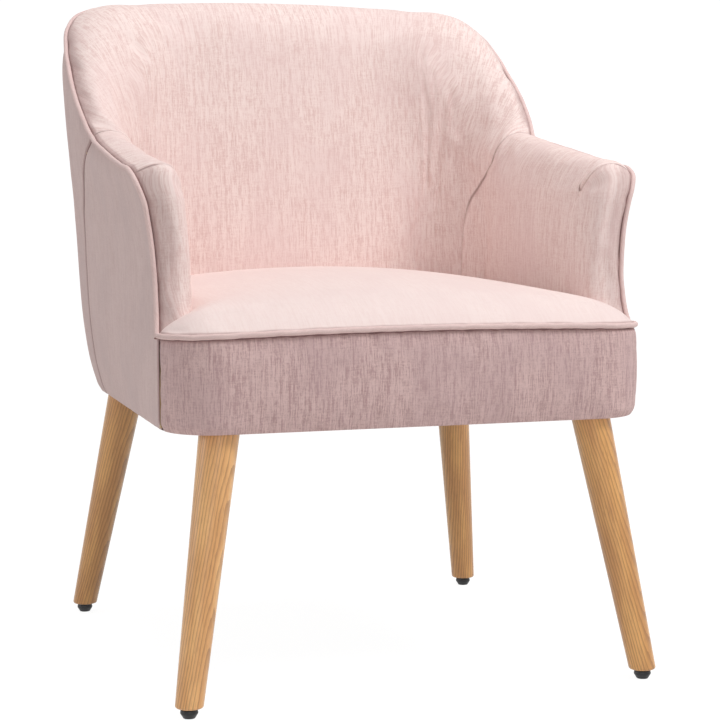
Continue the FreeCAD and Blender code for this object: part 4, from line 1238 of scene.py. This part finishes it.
@dataclass(frozen=True)
class OutsideBack:
    """Outside back panel, wrapped round both rear corners and turned under at the hem."""

    stations: int = 80
    rows: int = 64
    hem: float = 302.0
    turned: float = 16.0

    def sheets(self) -> list[Sheet]:
        """Lays out the panel as two mirrored halves that meet behind the middle of the seat."""
        form = TUB.form
        line, reach, _, kink = form.rim()
        places = np.linspace(0, 1, self.stations + 1)
        places = 0.4 * places + 0.6 * places ** 1.5
        top = TUB.rim_at(kink + (reach[-1] - kink) * places)[0]
        top_run = form.nearest_run(top, False)
        top_run = np.where(places > 0.9999, 0.0, top_run)
        up = spread(self.rows, 0.4)
        seam = np.array(form.outside_seam, float)
        heights = self.hem + (top[0, 2] - self.hem) * up
        seam_y = np.interp(heights, seam[:, 1], seam[:, 0])
        seam_run = form.run_at(seam_y, heights, False)
        share = top_run / top_run[0]
        low_run = top_run * (1 - (1 - seam_run[0] / top_run[0]) * share)
        u = up[None, :]
        bend = u ** 2.2
        run = low_run[:, None] * (1 - bend) + top_run[:, None] * bend
        z = self.hem + (top[:, 2] - self.hem)[:, None] * u
        fade = np.clip(1 - places * 2.6, 0, 1)[:, None] ** 1.6
        run = run + (seam_run - run[0])[None, :] * fade
        points = form.wall(run, z, False)
        off = top - form.wall(top_run, top[:, 2], False)
        gap_top = (top[:, 2] - self.hem)[:, None] * (1 - u)
        points = points + off[:, None] * np.exp(-((gap_top / 17) ** 2))[..., None]
        gap_seam = np.abs(run - seam_run[None, :]) + 1.0 * (places[:, None] > 0)
        gap_seam[0] = 0
        gap_low = (top[:, 2] - self.hem)[:, None] * u
        gap = np.minimum(gap_seam, gap_top)
        inward = -unit(np.stack([points[..., 0] * 0.8, points[..., 1] - 60, 0 * z], axis=-1))
        dip = 1.6 * np.exp(-((gap / 4.5) ** 2)) + 2.5 * np.exp(-((gap_low / 5.0) ** 2))
        drag = 0.5 * wavering(run, 70, 2.0) * np.exp(-(((z - 480) / 160) ** 2)) * np.clip(np.abs(run) / 60, 0, 1)
        points = points + inward * (dip - drag)[..., None]
        weave = np.stack([run + 800, z], axis=-1)
        inner = inward[:, 0]
        under = np.stack([points[:, 0] + inner * k + np.array([0, 0, h]) for k, h in ((0.0, 0.0), (1.2, -1.0), (4, -1.6), (self.turned, -1.6))], axis=1)[:, ::-1]
        weave_under = np.stack([np.broadcast_to(run[:, :1] + 800, under.shape[:2]), self.hem - np.array([self.turned, 4, 1.5, 0])[None, :] + 0 * run[:, :1]], axis=-1)
        right = [sheet_from(points, weave, gap, 3.2), sheet_from(under, weave_under, np.full(under.shape[:2], 50.0))]
        left = [Sheet(s.points[::-1] * (-1, 1, 1), s.weave[::-1] * (-1, 1) + (1600, 0), s.painted_shade[::-1], s.sewn[::-1]) for s in right]
        return right + left

    def build(self, cloth: bpy.types.Material) -> bpy.types.Object:
        """Builds and dresses the panel."""
        piece = build_cloth("outside_back_panel", self.sheets())
        settle(piece, cloth, ["outside_back"])
        return piece


# ---------------------------------------------------------------- seat and border


@dataclass(frozen=True)
class Seat:
    """Seat pad over its border, with the cloth-covered cord between them.

    Attributes:
        half: half width at the front seams.
        front: Y of the front.
        corner: radius of the front corners in plan.
        welt_low: height of the cord at the corners.
        welt_lift: how much higher it runs at the middle.
        lip: rise of the pad behind the cord.
        crown: further rise to the seat's middle.
        hem: height of the border's lower edge.
    """

    half: float = 281.5
    front: float = -287.0
    corner: float = 60.0
    welt_low: float = 405.0
    welt_lift: float = 6.0
    lip: float = 28.0
    crown: float = 22.0
    hem: float = 302.0
    cord: float = 3.3

    def outline(self, count: int, back: float = -214.0) -> tuple[Grid, Grid]:
        """The front outline in plan, left to right.

        Args:
            count: number of gaps between its points.
            back: Y at which both ends stop.

        Returns:
            Points with X and Y, and outward directions.
        """
        turn = np.linspace(0, math.pi / 2, 30)
        middle = (self.half - self.corner, self.front + self.corner)
        arc = np.stack([middle[0] + self.corner * np.cos(turn[::-1]), middle[1] - self.corner * np.sin(turn[::-1])], axis=-1)[::-1]
        right = np.concatenate([[(self.half, back)], arc, [(0.0, self.front)]])[::-1]
        whole = np.concatenate([right[::-1][:-1] * (1, 1), right * (-1, 1)])[::-1]
        run = run_length(whole)
        at = np.linspace(0, run[-1], count + 1)
        line = np.stack([np.interp(at, run, whole[:, k]) for k in range(2)], axis=-1)
        along = unit(np.gradient(line, axis=0))
        return line, np.stack([along[:, 1], -along[:, 0]], axis=-1)

    def welt_height(self, x: Grid) -> Grid:
        """Height of the cord across the front."""
        return self.welt_low + self.welt_lift * np.cos(np.clip(x / self.half, -1, 1) * math.pi / 2) ** 0.8

    def inset(self, x: Grid, y: Grid) -> Grid:
        """Distance of a place from the front outline, inside it."""
        qx, qy = np.abs(x) - (self.half - self.corner), -y + self.front + self.corner
        outside = np.hypot(np.maximum(qx, 0), np.maximum(qy, 0))
        return self.corner - outside - np.minimum(np.maximum(qx, qy), 0)

    def height(self, x: Grid, y: Grid) -> Grid:
        """Height of the pad's top."""
        deep = np.maximum(self.inset(x, y), 0)
        dome = np.clip(1 - (x / 275) ** 2, 0, 1) * np.clip(1 - ((y + 20) / 345) ** 2, 0, 1)
        top = self.welt_height(x) + self.lip * (1 - np.exp(-deep / 26)) + self.crown * dome * (1 - np.exp(-deep / 70))
        form = TUB.form
        z = np.full(np.shape(y), 440.0)
        room = np.minimum(form.side(y, z, True) - np.abs(x), form.at(form.inner_rear, z) - y)
        corner = np.hypot(np.maximum(np.abs(x) - 146, 0), np.maximum(y - 101, 0))
        room = np.minimum(room, np.where((np.abs(x) > 146) & (y > 101), 95 - corner, room))
        behind = ease((y + 205) / 25)
        return top - behind * 9 * np.exp(-np.maximum(room, -12) / 9.0)

    def build_pad(self, cloth: bpy.types.Material) -> bpy.types.Object:
        """Builds, fills and dresses the seat pad."""
        across, deep = spread(110, 0.6), np.concatenate([np.linspace(0, 1, 90) ** 1.25])
        front, _ = self.outline(110)
        left = np.array([(-self.half, -214), (-270, -200), (-252, -180), (-250, -100), (-250, 0), (-246, 100), (-242, 112)], float)
        left_run = run_length(left)
        edge = np.stack([np.interp(deep * left_run[-1], left_run, left[:, k]) for k in range(2)], axis=-1)
        angle = np.linspace(0, math.pi / 2, 24)
        half_rear = np.concatenate([np.stack([-148 - 94 * np.cos(angle), 112 + 94 * np.sin(angle)], axis=-1), [(0, 206)]])
        rear = np.concatenate([half_rear, half_rear[::-1][1:] * (-1, 1)])
        rear_run = run_length(rear)
        back = np.stack([np.interp(across * rear_run[-1], rear_run, rear[:, k]) for k in range(2)], axis=-1)
        front_run = run_length(front)
        low = np.stack([np.interp(across * front_run[-1], front_run, front[:, k]) for k in range(2)], axis=-1)
        plan = coons(low, back, edge, edge * (-1, 1), across, deep)
        x, y = plan[..., 0], plan[..., 1]
        z = self.height(x, y)
        points = np.stack([x, y, z], axis=-1)
        # the front row is drawn down behind the cord
        inward = np.stack([-x[:, :1] * 0.01, 0 * x[:, :1] + 3.5, 0 * x[:, :1] - 10], axis=-1)
        points = np.concatenate([points[:, :1] + inward, points], axis=1)
        plan = np.concatenate([plan[:, :1] - (0, 12), plan], axis=1)
        gap = self.inset(points[..., 0], points[..., 1])
        gap[:, 0] = 0
        sheet = sheet_from(points, plan + (1500, 0), np.maximum(gap, 0), 2.6)
        sheet.sewn = np.zeros(gap.shape, bool)
        sheet.sewn[:, :2] = sheet.sewn[:, -1] = sheet.sewn[0] = sheet.sewn[-1] = True
        piece = build_cloth("seat_pad", [sheet])
        puff(piece, 1.2, 0.006, 1.8)
        settle(piece, cloth, ["seat_foam", "seat_cover"])
        return piece

    def build_border(self, cloth: bpy.types.Material) -> bpy.types.Object:
        """Builds, fills and dresses the border under the seat."""
        line, out = self.outline(170, -224.6)
        up = spread(26, 0.4)
        top = self.welt_height(line[:, 0]) - 1.5
        z = self.hem + (top - self.hem)[:, None] * up[None, :]
        run = run_length(line)
        end = np.minimum(run, run[-1] - run)[:, None] + 0 * z
        gap = np.minimum(end, (top[:, None] - z))
        low = z - self.hem
        swell = 2.2 * np.sin(math.pi * up[None, :]) ** 0.7 * np.clip(end / 25, 0, 1)
        dip = 2.8 * np.exp(-((gap / 4.5) ** 2)) + 3.0 * np.exp(-((low / 5) ** 2))
        off = swell - dip
        points = np.concatenate([(line[:, None] + out[:, None] * off[..., None]), z[..., None]], axis=-1)
        weave = np.stack([run[:, None] + 0 * z + 2500, z], axis=-1)
        inner = np.concatenate([-out, 0 * out[:, :1]], axis=1)
        under = np.stack([points[:, 0] + inner * k + np.array([0, 0, h]) for k, h in ((0.0, 0.0), (1.2, -1.0), (4, -1.6), (16, -1.6))], axis=1)[:, ::-1]
        weave_under = np.stack([np.broadcast_to(weave[:, :1, 0], under.shape[:2]), self.hem - np.array([16, 4, 1.5, 0])[None, :] + 0 * run[:, None]], axis=-1)
        body = sheet_from(points, weave, gap, 3.0)
        body.sewn = (gap < 0.6) | (low < 0.6)
        fold = sheet_from(under, weave_under, np.full(under.shape[:2], 50.0))
        fold.sewn = np.ones(fold.sewn.shape, bool)
        piece = build_cloth("front_border_pad", [body, fold])
        puff(piece, 2.0, 0.008, 2.5)
        settle(piece, cloth, ["front_border", "front_padding"])
        return piece

    def build_welt(self, cloth: bpy.types.Material) -> bpy.types.Object:
        """Builds and dresses the cord between seat and border."""
        line, out = self.outline(260, -222)
        wave = wavering(run_length(line), 38, 0.4)
        centre = np.concatenate([line + out * (0.6 + 0.25 * wave)[:, None], (self.welt_height(line[:, 0]) + 0.3 * wave)[:, None]], axis=1)
        normal = np.concatenate([out, 0 * out[:, :1]], axis=1)
        piece = build_tube("seat_welt", centre, normal, self.cord)
        settle(piece, cloth, ["seat_piping"])
        return piece


@dataclass(frozen=True)
class ShellWelt:
    """Cloth-covered cord round the whole tub, up both noses, along the arms, up the wings and over the crest."""

    radius: float = 3.1
    proud: float = 1.6

    def build(self, cloth: bpy.types.Material) -> bpy.types.Object:
        """Builds and dresses the cord."""
        line, run, dart, kink = TUB.form.rim()
        places = np.linspace(0, run[-1], 380)
        on_arm = ease((places - dart - 15) / 40) * ease((kink - places) / 40)
        right, along = TUB.rim_at(places)
        outer = unit(np.stack([right[:, 0] * 0.9, np.where(right[:, 1] > 120, (right[:, 1] - 120) * 2.2, 0), 0 * places], axis=-1))
        wave = wavering(places, 44, 0.9) * (0.25 + 0.35 * np.exp(-(((places - kink) / 60) ** 2)))
        right = right + outer * (self.proud + 0.25 * wave)[:, None] + np.array([0, 0, 1.0]) * (0.7 * wave - 1.3 * on_arm)[:, None]
        whole = np.concatenate([right, right[::-1][1:] * (-1, 1, 1)])
        outs = np.concatenate([outer, outer[::-1][1:] * (-1, 1, 1)])
        piece = build_tube("shell_welt", whole, outs, self.radius)
        settle(piece, cloth, ["back_piping", "arm_piping_left", "arm_piping_right"])
        return piece


# ---------------------------------------------------------------- legs, feet and hidden parts


@dataclass(frozen=True)
class Legs:
    """Finish of the four turned legs; their CAD shapes stay."""

    front_top: tuple[float, float, float] = (221, -252, 300)
    front_foot: tuple[float, float, float] = (268.5, -298, 11)
    rear_top: tuple[float, float, float] = (224, 198, 300)
    rear_foot: tuple[float, float, float] = (269, 264, 11)
    palest: str = "leg_front_left"

    def dress(self) -> None:
        """Gives each leg its own piece of wood."""
        spots = {"front": (self.front_top, self.front_foot), "rear": (self.rear_top, self.rear_foot)}
        for number, (end, (top, foot)) in enumerate(spots.items()):
            for side in Side:
                name = f"leg_{end}_{side.name.lower()}"
                flip = (side.value, 1, 1)
                board = {"pale": "F2BC7C", "mid": "DFA66A"} if name == self.palest else {}
                wood = LacqueredAsh(
                    "lacquered_ash_" + name, tuple(a * b for a, b in zip(foot, flip)),
                    tuple(a * b for a, b in zip(top, flip)), 0.9 + 1.7 * number + 0.8 * side.value, **board)
                dress(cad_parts[name], wood.material())
                LOG.info("%s dressed", name)


@dataclass(frozen=True)
class HiddenParts:
    """Finishes of the frame, fixings and glides that stay as their CAD shapes."""

    def dress(self) -> None:
        """Dresses every CAD node that isn't a leg or replaced."""
        finishes = {
            "black_plastic": MOULDED_NYLON, "zinc_steel": ZINC_PLATE, "webbing": ELASTIC_WEB,
            "dust_cloth": SPUN_CLOTH, "foam": CUT_FOAM, "plywood": BENT_PLY, "frame_wood": SAWN_BEECH,
        }
        made = {slot: finish.material() for slot, finish in finishes.items()}
        for name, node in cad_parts.items():
            held = node.material_slots[0].material if node.material_slots else None
            kind = held.name.split(".")[0] if held else ""
            if kind in made:
                dress(node, made[kind])
                LOG.info("%s dressed in %s", name, made[kind].name)


@dataclass(frozen=True)
class HemStaples:
    """Staples that hold the dust cover to the frame under the seat."""

    pitch: float = 42.0
    width: float = 10.0
    wire: float = 0.6

    def build(self, steel: bpy.types.Material) -> bpy.types.Object:
        """Builds the row of staples as small bevelled bars under the dust cover's edge."""
        low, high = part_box("dust_cover")
        x0, y0, x1, y1 = low.x / MM + 9, low.y / MM + 12, high.x / MM - 9, high.y / MM - 9
        z = low.z / MM - 0.25
        built = bmesh.new()
        spots = [(x, y0 if k else y1, 0.0) for k in (0, 1) for x in np.arange(-170, 171, self.pitch)]
        spots += [(s * (abs(x0) - 3 if y < 40 else abs(x0) - 24), y, math.pi / 2) for s in (-1, 1) for y in np.arange(-190, 120, self.pitch)]
        for x, y, turn in spots:
            place = Matrix.Translation(Vector((x, y, z)) * MM) @ Matrix.Rotation(turn, 4, "Z")
            made = bmesh.ops.create_cube(built, size=1.0, matrix=place @ Matrix.Diagonal((self.width * MM, self.wire * MM * 1.6, self.wire * MM, 1)))
            edges = list({e for v in made["verts"] for e in v.link_edges})
            bmesh.ops.bevel(built, geom=edges, offset=0.00018, segments=2, affect="EDGES")
        piece = finish_mesh("hem_staples", built)
        settle(piece, steel, [], levels=0)
        return piece


# ---------------------------------------------------------------- studio


@dataclass(frozen=True)
class Studio:
    """Pale floor and backdrop, soft lamps and the camera."""

    eye: tuple[float, float, float] = (-0.7978, -2.4191, 0.5940)
    azimuth: float = -18.808
    pitch: float = 5.487
    lens: float = 103.93

    def build_camera(self) -> None:
        """Places the camera."""
        data = bpy.data.cameras.new("camera")
        data.lens, data.sensor_width = self.lens, 36.0
        data.clip_start, data.clip_end = 0.05, 60.0
        camera = bpy.data.objects.new("camera", data)
        a, p = math.radians(self.azimuth), math.radians(self.pitch)
        back = Vector((math.sin(a) * math.cos(p), -math.cos(a) * math.cos(p), math.sin(p)))
        camera.location = self.eye
        camera.rotation_euler = (-back).to_track_quat("-Z", "Y").to_euler()
        bpy.context.scene.collection.objects.link(camera)
        bpy.context.scene.camera = camera

    def build_floor(self) -> None:
        """Builds the floor, white to the eye but for the chair's soft shadow."""
        built = bmesh.new()
        # the floor sweeps up into the backdrop well behind the chair
        side_view = [(-9.0, 0.0), (3.0, 0.0)]
        side_view += [(3.0 + 1.5 * math.sin(a), 1.5 - 1.5 * math.cos(a)) for a in np.linspace(0.1, math.pi / 2, 14)]
        side_view += [(4.5, 9.0)]
        rows = [[built.verts.new((x, y, z - 0.0005)) for y, z in side_view] for x in (-9.0, 9.0)]
        for k in range(len(side_view) - 1):
            built.faces.new((rows[0][k], rows[1][k], rows[1][k + 1], rows[0][k + 1]))
        floor = finish_mesh("studio_floor", built)
        made = bpy.data.materials.new("painted_floor_matt")
        made.use_nodes = True
        tree = made.node_tree
        tree.nodes.clear()
        seen = add_node(tree, "LightPath").outputs
        eye = add_node(tree, "Math", {0: seen["Is Camera Ray"], 1: seen["Is Glossy Ray"]}, operation="MAXIMUM")
        eye = add_node(tree, "Math", {0: eye, 1: seen["Is Transmission Ray"]}, operation="MAXIMUM")
        share = add_node(tree, "Math", {0: eye, 1: 0.8}, operation="MULTIPLY")
        paint = add_node(tree, "BsdfDiffuse", {"Color": linear("F2F0EE")})
        glow = add_node(tree, "Emission", {"Color": (1, 1, 1, 1), "Strength": 1.18})
        both = add_node(tree, "MixShader", {0: share, 1: paint, 2: glow})
        add_node(tree, "OutputMaterial", {"Surface": both})
        dress(floor, made)

    def build_world(self) -> None:
        """Even light from all round, white where the eye sees it."""
        world = bpy.data.worlds.new("studio_air")
        bpy.context.scene.world = world
        world.use_nodes = True
        tree = world.node_tree
        tree.nodes.clear()
        seen = add_node(tree, "LightPath").outputs
        eye = add_node(tree, "Math", {0: seen["Is Camera Ray"], 1: seen["Is Glossy Ray"]}, operation="MAXIMUM")
        eye = add_node(tree, "Math", {0: eye, 1: seen["Is Transmission Ray"]}, operation="MAXIMUM")
        share = add_node(tree, "MapRange", {0: eye, 3: 0.38, 4: 1.0})
        air = add_node(tree, "Background", {"Color": (1, 1, 1, 1), "Strength": share})
        add_node(tree, "OutputWorld", {"Surface": air})

    def build_lamp(self, name: str, place: tuple, aim: tuple, size: float, power: float, colour: str = "FFFFFF") -> None:
        """Hangs one soft lamp.

        Args:
            name: the lamp's name.
            place: where it hangs, in metres.
            aim: what it points at.
            size: width of its square face.
            power: in watts.
            colour: of its light.
        """
        data = bpy.data.lights.new(name, "AREA")
        data.size, data.energy, data.color = size, power, linear(colour)[:3]
        lamp = bpy.data.objects.new(name, data)
        lamp.location = place
        lamp.rotation_euler = (Vector(aim) - Vector(place)).to_track_quat("-Z", "Y").to_euler()
        bpy.context.scene.collection.objects.link(lamp)

    def build(self) -> None:
        """Sets up the whole studio."""
        self.build_camera()
        self.build_floor()
        self.build_world()
        self.build_lamp("lamp_key", (1.3, -1.3, 2.4), (0, 0, 0.5), 0.9, 35)
        self.build_lamp("lamp_top", (-0.1, 0.0, 2.8), (0, 0, 0.4), 1.4, 17.5)
        self.build_lamp("lamp_front", (-0.6, -3.0, 1.2), (0, 0, 0.5), 1.4, 8)
        self.build_lamp("lamp_side", (-2.8, 0.5, 1.0), (0, 0, 0.5), 1.2, 10)
        bpy.context.scene.view_settings.view_transform = "Standard"
        LOG.info("studio set up")


def main() -> None:
    """Builds the chair's looks in order."""
    logging.basicConfig(level=logging.INFO, format="%(name)s %(message)s")
    inside, outside = INSIDE_CLOTH.material(), OUTSIDE_CLOTH_PAINTED_SHADE.material()
    welt, border, seat_cloth = WELT_CLOTH.material(), BORDER_CLOTH_PAINTED_SHADE.material(), SEAT_CLOTH.material()
    BackPad().build(inside)
    for side in Side:
        ArmPad(side).build(inside)
        OutsideArm(side).build(outside)
    OutsideBack().build(outside)
    seat = Seat()
    seat.build_pad(seat_cloth)
    seat.build_border(border)
    seat.build_welt(welt)
    ShellWelt().build(welt)
    Legs().dress()
    HiddenParts().dress()
    HemStaples().build(ZINC_PLATE.material())
    Studio().build()


if __name__ == "__main__":
    main()
